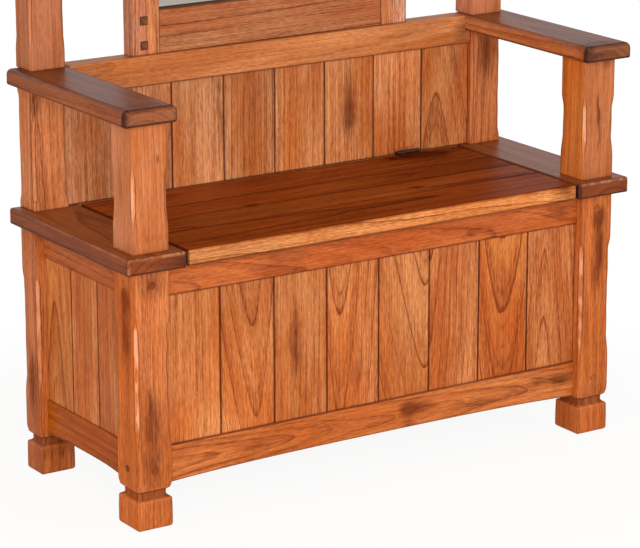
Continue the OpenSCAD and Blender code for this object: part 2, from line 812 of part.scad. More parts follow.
// A front length and two returns, mitred at the corners
module crown_moulding() {
    o = moulding_out;
    z = crown_z - moulding_h;
    color(amber) {
        intersection() {
            translate([0, post_y, z]) mirror([0, 1, 0]) along_x(-leg_x - o, leg_x + o) polygon(cove);
            translate([0, post_y, z]) linear_extrude(moulding_h)
                polygon([[-leg_x, 0], [leg_x, 0], [leg_x + o, -o], [-leg_x - o, -o]]);
        }
        for (s = [0, 1]) mirror([s, 0, 0]) intersection() {
            translate([leg_x, 0, z]) along_y(post_y - o, rear_y) polygon(cove);
            translate([leg_x, post_y + joint_gap, z]) linear_extrude(moulding_h)
                polygon([[0, 0], [o, -o], [o, rear_post_d - joint_gap], [0, rear_post_d - joint_gap]]);
        }
    }
}

// Stub tenons at the foot and head of the left mirror stile
module stub_tenons(c = 0) {
    for (z = [arm_h - stub_l - c, upper_rail_z - cut])
        slab(-hook_x - stile_w / 4 - c, -hook_x + stile_w / 4 + c, mirror_tenon_y - mirror_tenon_t / 2 - c,
             mirror_tenon_y + mirror_tenon_t / 2 + c, z, z + stub_l + cut + c);
}

// Tenons of the mirror rails at the left stile
module mirror_tenons(c = 0) {
    for (r = [[arm_h, mirror_bottom_h], [mirror_top_z, mirror_top_h]])
        translate([-mirror_in, mirror_tenon_y, r[0] + r[1] / 2]) rotate([0, 0, 180])
            tenon(mirror_tenon_l, mirror_tenon_t, 2 * peg_z + peg + 6, c);
}

// Square pegs through the left stile and its tenons
module left_pegs(c = 0) {
    h = peg / 2 + c;
    for (z = [arm_h + mirror_bottom_h / 2, mirror_top_z + mirror_top_h / 2], s = [-1, 1])
        slab(-mirror_x + peg_x - h, -mirror_x + peg_x + h, mirror_y - (c > 0 ? cut : 0), mirror_y + peg_l + c,
             z + s * peg_z - h, z + s * peg_z + h);
}

module hook_screw_set(c = 0) {
    for (z = hook_zs, dz = hook_screw_z)
        translate([-hook_x, mirror_y - hook_plate_t, z + dz]) rotate([0, 0, 90]) screw(c);
}

module clip_screw_set(z, c = 0) {
    translate([-mirror_in - rebate_w - clip_l / 4, mirror_back + clip_t, z]) rotate([0, 0, -90])
        rotate([0, 90, 0]) cylinder(r = screw_r + c, h = clip_t + clip_screw_in + c);
}

// Turn buttons that hold the board behind the glass
clip_l = 34;
clip_w = 14;
clip_t = 2.5;
clip_screw_in = 9;
clip_zs = [for (i = [0:2]) glass_z0 + (glass_z1 - glass_z0) * (1 + 2 * i) / 6];

module mirror_stile() {
    color(amber) difference() {
        union() {
            translate([0, 0, arm_h]) linear_extrude(upper_rail_z - arm_h)
                polygon([[-mirror_x, mirror_y + stile_bevel], [-mirror_x + stile_bevel, mirror_y],
                         [-mirror_in, mirror_y], [-mirror_in, mirror_back], [-mirror_x, mirror_back]]);
            stub_tenons();
        }
        mirror_tenons(fit);
        left_pegs(fit);
        slab(-mirror_in - rebate_w, -mirror_in + cut, glass_y, mirror_back + cut, glass_z0, glass_z1);
        hook_screw_set(fit);
        for (z = clip_zs) clip_screw_set(z, fit);
    }
}

module mirror_bottom_rail() {
    color(honey) difference() {
        union() {
            slab(-mirror_in, mirror_in, mirror_y, mirror_back, arm_h, mirror_bottom_top);
            mirror_rail_ends(arm_h - cut, mirror_bottom_top + cut);
        }
        slab(-mirror_in - cut, mirror_in + cut, glass_y, mirror_back + cut, glass_z0, mirror_bottom_top + cut);
        for (s = [0, 1]) mirror([s, 0, 0]) left_pegs(fit);
    }
}

// The tenons of one mirror rail, picked out by height
module mirror_rail_ends(z0, z1) {
    for (s = [0, 1]) mirror([s, 0, 0]) intersection() {
        mirror_tenons();
        slab(-mirror_x, 0, mirror_y, mirror_back, z0, z1);
    }
}

module mirror_top_rail() {
    color(honey) difference() {
        union() {
            along_y(mirror_y, mirror_back) polygon(arched(mirror_in, mirror_top_z, upper_rail_z, mirror_arch));
            mirror_rail_ends(mirror_top_z - cut, upper_rail_z + cut);
        }
        slab(-mirror_in - cut, mirror_in + cut, glass_y, mirror_back + cut, mirror_top_z - cut, glass_z1);
        for (s = [0, 1]) mirror([s, 0, 0]) left_pegs(fit);
    }
}

module mirror_glass() {
    x = mirror_in + rebate_w - loose;
    color([0.75, 0.78, 0.80]) slab(-x, x, glass_y, glass_y + glass_t, glass_z0, glass_z1 - loose);
}

module mirror_backing() {
    x = mirror_in + rebate_w - loose;
    color(inside) slab(-x, x, glass_y + glass_t, mirror_back, glass_z0, glass_z1 - loose);
}

module backing_clips() {
    color(iron) for (s = [0, 1], z = clip_zs) mirror([s, 0, 0]) {
        difference() {
            slab(-mirror_in - rebate_w - clip_l / 2, -mirror_in - rebate_w + clip_l / 2, mirror_back,
                 mirror_back + clip_t, z - clip_w / 2, z + clip_w / 2);
            clip_screw_set(z, fit);
        }
        clip_screw_set(z);
    }
}

module square_pegs() { color(walnut) for (s = [0, 1]) mirror([s, 0, 0]) left_pegs(); }

// A prong that leaves the plate along -Y and bends up to a ball
module prong(p) {
    run = p[1];
    bend = p[2];
    rise = p[3];
    translate([0, 0, p[0]]) {
        rotate([90, 0, 0]) cylinder(r = hook_rod_r, h = run);
        translate([0, -run, bend]) rotate([0, 90, 180]) rotate_extrude(angle = 90)
            translate([bend, 0]) circle(r = hook_rod_r);
        translate([0, -run - bend, bend]) cylinder(r = hook_rod_r, h = rise);
        translate([0, -run - bend, bend + rise]) sphere(r = p[4]);
    }
}

module hook(z) {
    r = hook_plate_w / 2;
    color(iron) difference() {
        translate([-hook_x, mirror_y - hook_plate_t, z]) {
            for (p = prongs) prong(p);
            translate([0, hook_plate_t, 0]) rotate([90, 0, 0]) linear_extrude(hook_plate_t) {
                square([hook_plate_w, hook_plate_h - hook_plate_w], center = true);
                for (s = [-1, 1]) translate([0, s * (hook_plate_h / 2 - r)]) circle(r = r);
            }
        }
        hook_screw_set(fit);
    }
}

module hook_screws() { color(iron) for (s = [0, 1]) mirror([s, 0, 0]) hook_screw_set(); }

module leg_plugs() { color(walnut) for (s = [0, 1]) mirror([s, 0, 0]) left_plugs(); }

module post_dowels() { color(inside) for (s = [0, 1]) mirror([s, 0, 0]) left_dowels(); }

front_leg();  // front_left_leg
side(1) front_leg();  // front_right_leg
rear_leg();  // rear_left_leg
side(1) rear_leg();  // rear_right_leg
front_top_rail();
front_bottom_rail();
side_top_rail();  // left_top_rail
side_bottom_rail();  // left_bottom_rail
side(1) side_top_rail();  // right_top_rail
side(1) side_bottom_rail();  // right_bottom_rail
rear_top_rail();
rear_bottom_rail();
front_planks();
left_side_planks();  // left_planks
right_side_planks();  // right_planks
chest_back_panel();
chest_floor();
floor_cleats();
seat_bearer();  // left_seat_bearer
side(1) seat_bearer();  // right_seat_bearer
seat_end();  // left_seat_end
side(1) seat_end();  // right_seat_end
lid_boards();
lid_battens();
lid_hinge_leaves();
frame_hinge_leaves();
hinge_pins();
lid_hinge_screws();
frame_hinge_screws();
arm_post();  // left_arm_post
side(1) arm_post();  // right_arm_post
arm_board();  // left_arm_board
side(1) arm_board();  // right_arm_board
mid_post();  // left_mid_post
side(1) mid_post();  // right_mid_post
back_planks();
back_rail();
upper_post();  // left_upper_post
side(1) upper_post();  // right_upper_post
upper_rail();
crown_board();
crown_moulding();
mirror_stile();  // left_mirror_stile
side(1) mirror_stile();  // right_mirror_stile
mirror_bottom_rail();
mirror_top_rail();
mirror_glass();
mirror_backing();
backing_clips();
square_pegs();
hook(hook_zs[0]);  // left_upper_hook
hook(hook_zs[1]);  // left_lower_hook
side(1) hook(hook_zs[0]);  // right_upper_hook
side(1) hook(hook_zs[1]);  // right_lower_hook
hook_screws();
leg_plugs();
post_dowels();
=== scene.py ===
import json

import bpy
import numpy as np
from mathutils import Matrix, Vector


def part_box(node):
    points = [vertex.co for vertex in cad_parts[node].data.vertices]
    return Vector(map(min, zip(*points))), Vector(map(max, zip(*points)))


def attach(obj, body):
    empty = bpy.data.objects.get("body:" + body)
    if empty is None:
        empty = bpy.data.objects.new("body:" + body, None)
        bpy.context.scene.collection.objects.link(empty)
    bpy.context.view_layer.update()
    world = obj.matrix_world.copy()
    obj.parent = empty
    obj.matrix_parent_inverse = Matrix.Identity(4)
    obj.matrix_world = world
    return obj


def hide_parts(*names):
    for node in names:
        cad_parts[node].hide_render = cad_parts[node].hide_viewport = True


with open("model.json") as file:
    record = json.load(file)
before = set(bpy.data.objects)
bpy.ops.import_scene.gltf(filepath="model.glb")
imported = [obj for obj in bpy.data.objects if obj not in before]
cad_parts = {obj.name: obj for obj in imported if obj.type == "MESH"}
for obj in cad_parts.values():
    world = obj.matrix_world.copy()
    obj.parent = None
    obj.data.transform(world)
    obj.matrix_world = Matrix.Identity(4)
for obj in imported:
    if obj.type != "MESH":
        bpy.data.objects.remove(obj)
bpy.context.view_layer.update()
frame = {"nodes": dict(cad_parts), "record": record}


# Front legs: solid square timbers with a foot block below a cut neck, and stopped chamfers that were
# pared by hand on the four corners. Stained orange brown, oiled, and rubbed pale along the chamfers,
# with a painted highlight there and painted shade in the neck.
# Everything made of wood below uses the same bars, the same build step and the same wood.
bodies = {node: body for body, nodes in frame["record"]["behaviour"]["bodies"].items() for node in nodes}


def box(node):
    """A node's lowest and highest corner at rest, as an array."""
    return np.array([list(corner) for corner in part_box(node)])


def spread(value, *shape):
    """A number or an array, repeated to a shape."""
    return np.broadcast_to(np.asarray(value, float), shape)


def at_corner(place, values):
    """The value of the corner that each point lies at, of one or four values."""
    return spread(values, 4)[np.clip(place, 0, 7).astype(int) // 2]


def corner_rings(s, p, q, cut, power=2.0, turn=3, flats=(4, 4), near=0.0012):
    """Rings of a bar along s. Ring i is the rectangle p[i] by q[i], with its corners cut back by cut[i]:
    a corner's points lie cut (cos t, sin t) / (cos^n t + sin^n t)^(1/n) from its centre, for t from 0 to
    90 degrees and n the power: 2 is round and 1 is flat. Between two corners lie a point near each, and
    flats more. Returns the points (rings, points, 3) as s, p, q, each point's place, 2j to 2j + 1 along
    corner j or -1 between corners, and its outward direction. The corners are high p high q, low p
    high q, low p low q and high p low q."""
    n = len(s)
    p, q, cut, power = spread(p, n, 2), spread(q, n, 2), spread(cut, n, 4), spread(power, n)[:, None]
    t = np.linspace(0, np.pi / 2, turn + 1)
    k = (np.cos(t) ** power + np.sin(t) ** power) ** (-1 / power)
    middle = np.stack([np.where([True, False, False, True], p[:, 1:] - cut, p[:, :1] + cut),
                       np.where([True, True, False, False], q[:, 1:] - cut, q[:, :1] + cut)], -1)

    def round_corners(c, w):
        return np.stack([np.stack([c, -w, -c, w], -2), np.stack([w, c, -w, -c], -2)], -1)
    unit = round_corners(np.cos(t), np.sin(t))
    arc = middle[:, :, None] + cut[..., None, None] * round_corners(k * np.cos(t), k * np.sin(t))
    ring, place, out = [], [], []
    for j in range(4):
        a, b = arc[:, j, -1], arc[:, (j + 1) % 4, 0]
        close = min(0.3, near / max(np.linalg.norm(b - a, axis=1).mean(), 1e-6))
        f = np.concatenate([[close], np.linspace(0, 1, flats[j % 2] + 2)[1:-1], [1 - close]])
        ring += [arc[:, j], a[:, None] * (1 - f[:, None]) + b[:, None] * f[:, None]]
        place += [2 * j + np.linspace(0, 1, turn + 1), np.full(len(f), -1.0)]
        out += [unit[j], np.broadcast_to(unit[j, -1], (len(f), 2))]
    ring = np.concatenate(ring, 1)
    s = np.broadcast_to(np.asarray(s, float)[:, None, None], ring.shape[:2] + (1,))
    return np.concatenate([s, ring], -1), np.concatenate(place), np.concatenate(out)


def timber(axis, local, place, out, face="p", pith=(0.0, 0.04), lean=0.0, taper=0.02, pitch=0.014,
           sway=0.008, line=0.5, tip=None, seed=0, tone=1.0, red=0.0, pink=0.0, fade=0.0, dark=0.0,
           wear=0.2, dirt=0.0, seams=(), shape=None):
    """Turns rings in s, p, q order into frame points and what they carry for the wood. face is the local
    axis across its wide face. The tree's pith lies pith[0] across from the middle, leaning by lean per
    metre, and pith[1] below the low face. Where the rings open to a tip, it stands at s = tip. tone is
    how light it is, with fade more at its low end than at its high one: a painted gradient of
    light and shade. red and pink are how far its colour leans to red and away from yellow. dirt
    darkens its corners, and each of the seams is a dark line at a distance along it, with a width and a
    strength: dirt and stain at joints and edges, with painted shade where parts meet. shape bends the
    points."""
    xyz = local[..., {"x": [0, 1, 2], "y": [1, 0, 2], "z": [1, 2, 0]}[axis]]
    xyz = xyz if shape is None else shape(xyz)
    low, high = local.reshape(-1, 3).min(0), local.reshape(-1, 3).max(0)
    middle = (low + high) / 2
    a, b = (1, 2) if face == "p" else (2, 1)
    s, full = local[..., 0], np.ones(local.shape[:2])
    along = s + 2.37 * seed if tip is None else s - tip + ((12 + seed) * pitch - pith[1]) / taper
    across = local[..., a] - middle[a] - pith[0] - lean * (s - middle[0])
    crest = np.clip(2.4 * np.sin(np.pi * (place % 2)) - 0.45, 0, 1)
    # Corners and seams are darkened: dirt and stain at joints, and painted shade where parts meet.
    dirt_and_shade_total = full * (place >= 0) * at_corner(place, dirt)
    # A painted gradient of light and shade along the bar.
    light = full * tone * (1 + fade * (0.5 - (s - low[0]) / (high[0] - low[0])))
    for value, width, strength in seams:
        dirt_and_shade_total = dirt_and_shade_total + strength * np.exp(-((s - value) / width) ** 2)
    hue = 1 - red * np.array([0, 0.36, 0.54]) + pink * np.array([0, 0.08, 1])
    return dict(xyz=xyz, out=out, place=place, flip=axis == "y",
                grain=np.stack([along, across, local[..., b] - low[b] + pith[1]], -1),
                figure=np.stack([full * taper, full * pitch, full * sway], -1),
                tint=light[..., None] * hue,
                board=np.stack([full * line, full * dark, 0 * full], -1),
                marks=np.stack([full * crest * wear, np.clip(dirt_and_shade_total, 0, 1), 0 * full], -1))


def bar(axis, span, p, q, cut=0.001, round_end=0.001, power=2.0, turn=3, flats=(4, 4), near=0.0012,
        step=0.02, at=(), **look):
    """A timber along an axis of the frame. Its two ends are rounded by the four radii round_end (p low,
    p high, q low, q high): at a distance d from an end, a side of radius r is drawn in by
    r - sqrt(r^2 - (r - d)^2). at lists more places for rings, and look is what timber takes."""
    s0, s1 = span
    r = spread(round_end, 4)
    d = np.concatenate([r.max() * (1 - np.cos(np.linspace(0, np.pi / 2, 5))), r.max() + [0.0015, 0.004]])
    inner = np.linspace(s0 + d[-1], s1 - d[-1], max(2, int((s1 - s0) / step)))
    beside = np.array([-2.5, -1, -0.4, 0.4, 1, 2.5])
    seams = [value + width * beside for value, width, _ in look.get("seams", ())]
    s = np.unique(np.concatenate([s0 + d, inner, s1 - d, at, *seams]).round(6))
    s = np.concatenate([[s0], s[(s >= s0) & (s <= s1)], [s1]])
    lag = np.clip(r - np.minimum(s - s0, s1 - s)[:, None], 0, None)
    draw = r - np.sqrt(np.clip(r ** 2 - lag ** 2, 0, None))
    draw[[0, -1]] += 0.0012
    p = spread(p, len(s), 2) + draw[:, :2] * [1, -1]
    q = spread(q, len(s), 2) + draw[:, 2:] * [1, -1]
    side = np.stack([draw[:, pair].min(1) for pair in ([1, 3], [0, 3], [0, 2], [1, 2])], 1)
    cut = np.clip(spread(cut, len(s), 4) - side, 0.0002, None)
    return timber(axis, *corner_rings(s, p, q, cut, power, turn, flats, near), **look)


def fitted(node, axis, span=None, p=None, q=None, **look):
    """A bar that fills a node's box along an axis, but for the span, p or q that is given."""
    i = "xyz".index(axis)
    j, k = [n for n in range(3) if n != i]
    full = box(node).T
    return bar(axis, span or full[i], p or full[j], q or full[k], **look)


def painted_shade_on_faces(piece, way, depth):
    """Paints shade on the faces of a bar that look towards way, in p and q: a painted shadow in a gap or a
    rebate.
    """
    faced = np.clip(1.3 * piece["out"] @ way, 0, 1)
    piece["marks"][..., 1] = np.clip(piece["marks"][..., 1] + depth * faced, 0, 1)
    return piece


def facing(y, *spots):
    """Spots on faces that look to the front at the depth y: each is x, z, its half widths across and up,
    its strength, and its wave if it has one."""
    return [(x, y, z, u, 9, w, *rest) for x, z, u, w, *rest in spots]


def stained(xyz, spots):
    """Sum of soft dark spots. Each is its middle, its three half widths in mm, its strength, and how far
    it waves in x as z rises: strength * exp(-((x-a)^2/u^2 + (y-b)^2/v^2 + (z-c)^2/w^2) / 2)."""
    x, y, z = (xyz * 1000).T
    wander = np.sin(z / 17) + 0.5 * np.sin(z / 7.3 + 1)
    total = np.zeros(len(xyz))
    for a, b, c, u, v, w, strength, *wave in spots:
        across = x - sum(wave) * wander - a
        total += strength * np.exp(-((across / u) ** 2 + ((y - b) / v) ** 2 + ((z - c) / w) ** 2) / 2)
    return total


def ring_mesh(name, tubes, flips=None):
    """One smooth mesh from several tubes of rings. Each ring joins the next with four-sided faces, and
    each end is one face. A tube that flips has its faces turned round."""
    faces, first = [], 0
    for tube, flip in zip(tubes, flips or [False] * len(tubes)):
        n, m = tube.shape[:2]
        index = first + np.arange(n * m).reshape(n, m)
        nxt = np.roll(index, -1, 1)
        quads = np.stack([index[:-1], nxt[:-1], nxt[1:], index[1:]], -1).reshape(-1, 4)
        ends = [index[0, ::-1], index[-1]]
        if flip:
            quads, ends = quads[:, ::-1], [e[::-1] for e in ends]
        faces += quads.tolist() + [e.tolist() for e in ends]
        first += n * m
    mesh = bpy.data.meshes.new(name)
    mesh.from_pydata(np.concatenate([tube.reshape(-1, 3) for tube in tubes]).tolist(), [], faces)
    mesh.shade_smooth()
    return mesh


def placed(name, data):
    """A new object that holds data, put in the scene."""
    item = bpy.data.objects.new(name, data)
    bpy.context.scene.collection.objects.link(item)
    return item


def finish(name, mesh, material):
    """Puts a mesh in the scene as a piece that stands for the node of its name."""
    mesh.materials.append(material)
    piece = placed(name, mesh)
    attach(piece, bodies[name])
    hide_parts(name)


def build(name, bars, material, spots=()):
    """One piece from several bars, with what they carry and its spots held on its points."""
    mesh = ring_mesh(name, [b["xyz"] for b in bars], [b["flip"] for b in bars])
    carried = {key: np.concatenate([b[key].reshape(-1, 3) for b in bars])
               for key in ("xyz", "grain", "figure", "tint", "board", "marks")}
    carried["marks"][:, 2] += stained(carried.pop("xyz"), spots)
    for key, values in carried.items():
        held = mesh.attributes.new(key, "FLOAT_VECTOR", "POINT").data
        held.foreach_set("vector", values.astype(np.float32).ravel())
    finish(name, mesh, material)


def single(node, axis, material, spots=(), **look):
    """A piece that is one bar, which fills its node's box along an axis."""
    build(node, [fitted(node, axis, **look)], material, spots)


def linear(code):
    """Hex sRGB colour as linear red, green, blue, alpha."""
    c = np.array([int(code[i:i + 2], 16) for i in (0, 2, 4)]) / 255
    return (*np.where(c <= 0.04045, c / 12.92, ((c + 0.055) / 1.055) ** 2.4), 1.0)


def cleared(block):
    """The emptied node tree of a material or a world."""
    block.use_nodes = True
    block.node_tree.nodes.clear()
    return block.node_tree


def add(tree, kind, links=None, **settings):
    """Adds a node. links maps an input's name or number to a socket to link or a value to set."""
    node = tree.nodes.new("ShaderNode" + kind)
    for key, value in settings.items():
        setattr(node, key, value)
    for key, value in (links or {}).items():
        if isinstance(value, bpy.types.NodeSocket):
            tree.links.new(value, node.inputs[key])
        else:
            node.inputs[key].default_value = value
    return node


def wood(name, colours, rough=0.42, gloss=0.18, coat=0.0, grit=1.0):
    """Stained open-grained hardwood, whose colours are pale, warm, deep and the pale edge colour. The yearly
    lines lie at whole numbers of d / pitch, where d = sqrt(across^2 + through^2) + taper * along, swayed by
    slow noise, so a face shows nested tips, straight lines or wild figure as it was sawn. Three faint lines
    lie between two strong ones. Over them lie fibres, flecks, pores and clouds of stain, then dark spots,
    mostly stains and a few painted shadows, pale edges that are partly wear and partly painted highlight,
    and darkening that is partly dirt and partly painted shade."""
    material = bpy.data.materials.new(name)
    t = cleared(material)
    pale, warm, deep, pale_edge = (linear(code) for code in colours.split())

    def calc(op, a, b=0.0, c=0.0):
        return add(t, "Math", {0: a, 1: b, 2: c}, operation=op).outputs[0]

    def times(a, b, c=None):
        """a b, or a b + c where c is given."""
        return calc("MULTIPLY", a, b) if c is None else calc("MULTIPLY_ADD", a, b, c)

    def noise(scale, detail=2.0, roughness=0.5, place=None):
        point = add(t, "VectorMath", {0: place or grain, 1: scale}, operation="MULTIPLY").outputs[0]
        links = {"Vector": point, "Scale": 1.0, "Detail": detail, "Roughness": roughness}
        return add(t, "TexNoise", links).outputs["Fac"]

    def ease(value, low, high, to_low=0.0, to_high=1.0):
        links = {"Value": value, "From Min": low, "From Max": high, "To Min": to_low, "To Max": to_high}
        return add(t, "MapRange", links, interpolation_type="SMOOTHSTEP").outputs["Result"]

    def mix(fac, a, b, blend="MIX"):
        return add(t, "Mix", {0: fac, 6: a, 7: b}, data_type="RGBA", blend_type=blend).outputs[2]

    def darkened(colour, fac, ink):
        return mix(1.0, colour, mix(fac, (1, 1, 1, 1), ink), "MULTIPLY")

    def read(key):
        return add(t, "SeparateXYZ", {0: add(t, "Attribute", attribute_name=key).outputs["Vector"]}).outputs

    grain, tint = (add(t, "Attribute", attribute_name=key).outputs["Vector"] for key in ("grain", "tint"))
    (along, across, through), (taper, pitch, sway) = read("grain"), read("figure")
    (line, dark, _), (wear_and_highlight, dirt, spot) = read("board"), read("marks")
    far = calc("SQRT", times(across, across, times(through, through)))
    far = times(taper, along, far)
    far = times(calc("SUBTRACT", noise((4.5, 11.0, 11.0), 1.0), 0.5), sway, far)
    far = times(calc("SUBTRACT", noise((22.0, 55.0, 55.0)), 0.5), 0.0018, far)
    far = times(spot, 0.006, far)

    def lines(count, thick):
        """Thin dark lines, count to each pitch, and how far a point lies from one line to the next."""
        turns = calc("DIVIDE", times(far, count), pitch)
        share = calc("FRACT", turns)
        left = times(calc("SUBTRACT", 1.0, share), calc("DIVIDE", pitch, count))
        year = add(t, "TexWhiteNoise", {"W": calc("FLOOR", turns)}, noise_dimensions="1D").outputs["Value"]
        drawn = ease(left, 0.0, thick, 1.0, 0.0)
        return times(drawn, times(year, 0.6, 0.4)), share

    strong, share = lines(1.0, thick=0.0025)
    weak, _ = lines(4.0, thick=0.0018)
    late = calc("ADD", strong, times(weak, 0.4, ease(share, 0.45, 1.0, 0.0, 0.28)))
    band = noise((1.0, 1.0, 1.0), place=add(t, "CombineXYZ", {
        0: times(far, 130.0), 1: times(along, 1.6)}).outputs[0])
    fibre = noise((6.0, 430.0, 430.0), 2.0, 0.6)
    fleck = noise((70.0, 480.0, 480.0), 1.0)
    pores = ease(noise((110.0, 1500.0, 1500.0), 1.0), 0.56, 0.7)
    cloud = noise((3.5, 14.0, 14.0), 3.0, 0.6)

    shade = times(late, line)
    shade = times(shade, 0.8, times(ease(band, 0.32, 0.68), 0.27))
    shade = times(ease(fibre, 0.38, 0.64), 0.27 * grit, shade)
    shade = times(ease(fleck, 0.38, 0.62), 0.27 * grit, shade)
    shade = times(pores, 0.15, calc("SUBTRACT", shade, 0.1 * grit))
    colour = mix(shade, mix(ease(cloud, 0.34, 0.66), pale, warm), deep)
    colour = mix(1.0, colour, tint, "MULTIPLY")
    colour = darkened(colour, dark, (0.37, 0.23, 0.052, 1))
    # Pale edges: wear, and on the chamfers and the feet a painted highlight.
    worn_and_highlit = times(wear_and_highlight, ease(noise((24.0, 90.0, 90.0)), 0.4, 0.6, 0.12, 1.0))
    colour = mix(worn_and_highlit, colour, pale_edge)
    # Dark spots: stains, and a few painted shadows by the hinges and the right arm.
    spot_darkening = times(calc("SUBTRACT", noise((34.0, 210.0, 210.0), 3.0, 0.6), 0.5), 0.9, spot)
    spot_darkening = times(ease(spot_darkening, 0.0, 0.9), ease(spot, 0.02, 0.25))
    colour = darkened(colour, times(spot_darkening, 0.9), (0.3, 0.2, 0.12, 1))
    # Darkening at corners, joints and gaps: dirt, with painted shade.
    colour = darkened(colour, times(dirt, 0.94), (0.15, 0.075, 0.07, 1))
    height = calc("SUBTRACT", times(fibre, 0.4), times(late, 0.15, pores))
    bump = add(t, "Bump", {"Strength": 0.3, "Distance": 0.0003, "Height": height}).outputs[0]
    dull = calc("ADD", fibre, calc("ADD", spot_darkening, dirt))
    shader = add(t, "BsdfPrincipled", {
        "Base Color": colour, "Roughness": ease(dull, 0.2, 1.6, rough - 0.04, rough + 0.35),
        "Normal": bump, "Specular IOR Level": gloss, "Coat Weight": coat, "Coat Roughness": 0.22})
    add(t, "OutputMaterial", {"Surface": shader.outputs[0]})
    return material


post_colours = "d5814c c46c33 752c04 e2a17c"
post_wood = wood("amber_stained_post_wood", post_colours)
smooth_wood = wood("amber_stained_smooth_post_wood", post_colours, grit=0.65)


def chamfer_along(z, low, high, deep, run_low, run_high):
    """Depth of a stopped chamfer: it rises over run_low and ends over run_high, each as 3t^2 - 2t^3."""
    rise, fall = np.clip((z - low) / run_low, 0, 1), np.clip((high - z) / run_high, 0, 1)
    return deep * np.minimum(rise * rise * (3 - 2 * rise), fall * fall * (3 - 2 * fall))


def foot_inset(z):
    """How far a leg's faces are drawn in at z, in mm: a 6 mm round at the floor, a foot block up to 50,
    eased over 3, a neck 6.5 deep up to 66, and a lip 1.5 deep at 70 that runs out at 78."""
    floor_round = np.where(z < 6, 6 - np.sqrt(np.clip(36 - (6 - z) ** 2, 0, None)), 0)
    block_round = np.where(z > 50, 3 - np.sqrt(np.clip(9 - (z - 50) ** 2, 0, None)), 0)
    neck = np.interp(z, [53, 57, 66, 70, 78], [3, 6.5, 6.5, 1.5, 0])
    return np.where(z < 53, floor_round + block_round, neck)


def post(node, material, chamfer, phase, spots=(), foot=False, wear_and_highlight=0.0, flats=(14, 14), step=0.0055,
         left=(0, 0, 0), **look):
    """An upright timber that fills a node's box. chamfer is its stopped chamfer's low and high end,
    depth and two runs. Each corner waves on its own, by 0.45 sin(z/19) + 0.3 sin(z/8) mm, as a pared
    edge does. wear_and_highlight is how pale the chamfers are painted, between dark borders: worn wood
    with a painted highlight. left is how much lighter its left-facing faces are painted in red, green
    and blue: painted light and shade on that side."""
    low, high = box(node)
    z = np.concatenate([low[2] + [0, 0.0004, 0.001, 0.003], np.arange(low[2] + 0.006, high[2] - 0.004, step),
                        high[2] - [0.003, 0.001, 0.0004, 0]])
    inset = (np.interp(z, low[2] + [0, 0.0006], [0.0006, 0])
             + np.interp(z, high[2] - [0.0006, 0], [0, 0.0006]))
    if foot:
        mm = np.concatenate([[0, 0.4, 1.2, 2.4, 4, 6, 12, 20, 28, 36, 44, 49.5],
                             50 + 3 * np.sin([0.2, 0.6, 1, 1.3, 1.57]),
                             [54.5, 56.5, 57.5, 60, 63, 65.5, 66.5, 68, 69.6, 70.4, 73, 76, 77.5, 79, 82]])
        z = np.concatenate([mm / 1000, z[z > 0.085]])
        inset = foot_inset(z * 1000) / 1000
    z = np.concatenate([z[:1], z, z[-1:]])
    inset = np.concatenate([inset[:1] + 0.0012, inset, inset[-1:] + 0.0012])
    depth = chamfer_along(z, *chamfer)
    ramp = (depth / chamfer[2])[:, None]
    wave = (0.00045 * np.sin(z[:, None] / 0.019 + phase + [0, 2, 4, 5])
            + 0.0003 * np.sin(z[:, None] / 0.008 + phase + [1, 3, 0, 2]))
    cut = np.clip(0.0013 + depth[:, None] + wave * ramp, 0.0008, None)
    mm = z[:, None] * 1000
    if foot:
        near = np.clip((90 - mm) / 24, 0, 1)
        cut += 0.004 * near ** 2 * (3 - 2 * near) * (mm > 53.5)
        cut += 0.0015 * np.interp(mm, [30, 50], [0, 1]) * (near == 1)
    piece = timber("z", *corner_rings(z, np.stack([low[0] + inset, high[0] - inset], 1),
                                      np.stack([low[1] + inset, high[1] - inset], 1),
                                      cut, 2 - 0.85 * ramp[:, 0], 6, flats), wear=1.0, **look)
    place, marks, end_dirt = piece["place"], piece["marks"], 0.45
    # The chamfers' pale middles are wear with a painted highlight, between dark borders.
    marks[..., 0] = (np.clip(2.2 * marks[..., 0] * ramp - 1.0, 0, 1) * wear_and_highlight
                     * at_corner(place, (0.5, 0.7, 1, 0.4)))
    # Its left-facing faces are tinted by left: painted light and shade on that side.
    piece["tint"] *= 1 + np.clip(-piece["out"][:, :1], 0, 1) * left
    marks[..., 1] += (0.6 + 0.35 * ramp) * ((place >= 0) & (place % 1 == 0))
    # Dark lines at the post's ends: dirt, and painted shade where it meets the parts above and below.
    marks[..., 1] += end_dirt * np.exp(-((high[2] * 1000 - mm) / 2) ** 2)
    if foot:
        # Painted shadow in the neck between 54 and 69 mm, and painted highlight lines at the lip, near 71
        # mm, and on the foot block's top edge, near 50.5 mm.
        marks[..., 1] += 0.55 * ((mm > 54) & (mm < 69)) + 0.35 * np.exp(-((mm - 68.5) / 1.3) ** 2)
        marks[..., 0] += 0.3 * np.exp(-(mm - 71) ** 2) + 0.25 * np.exp(-((mm - 50.5) / 0.9) ** 2)
    else:
        marks[..., 1] += end_dirt * np.exp(-((mm - low[2] * 1000) / 2) ** 2)
    np.clip(marks, 0, 1, marks)
    build(node, [piece], material, spots)


def leg(node, number, spots, wear_and_highlight, **look):
    """A leg of the chest with its foot and its chamfers."""
    post(node, post_wood, (0.137, 0.370, 0.0056, 0.05, 0.024), number, spots, foot=True, wear_and_highlight=wear_and_highlight,
         seed=number, **look)


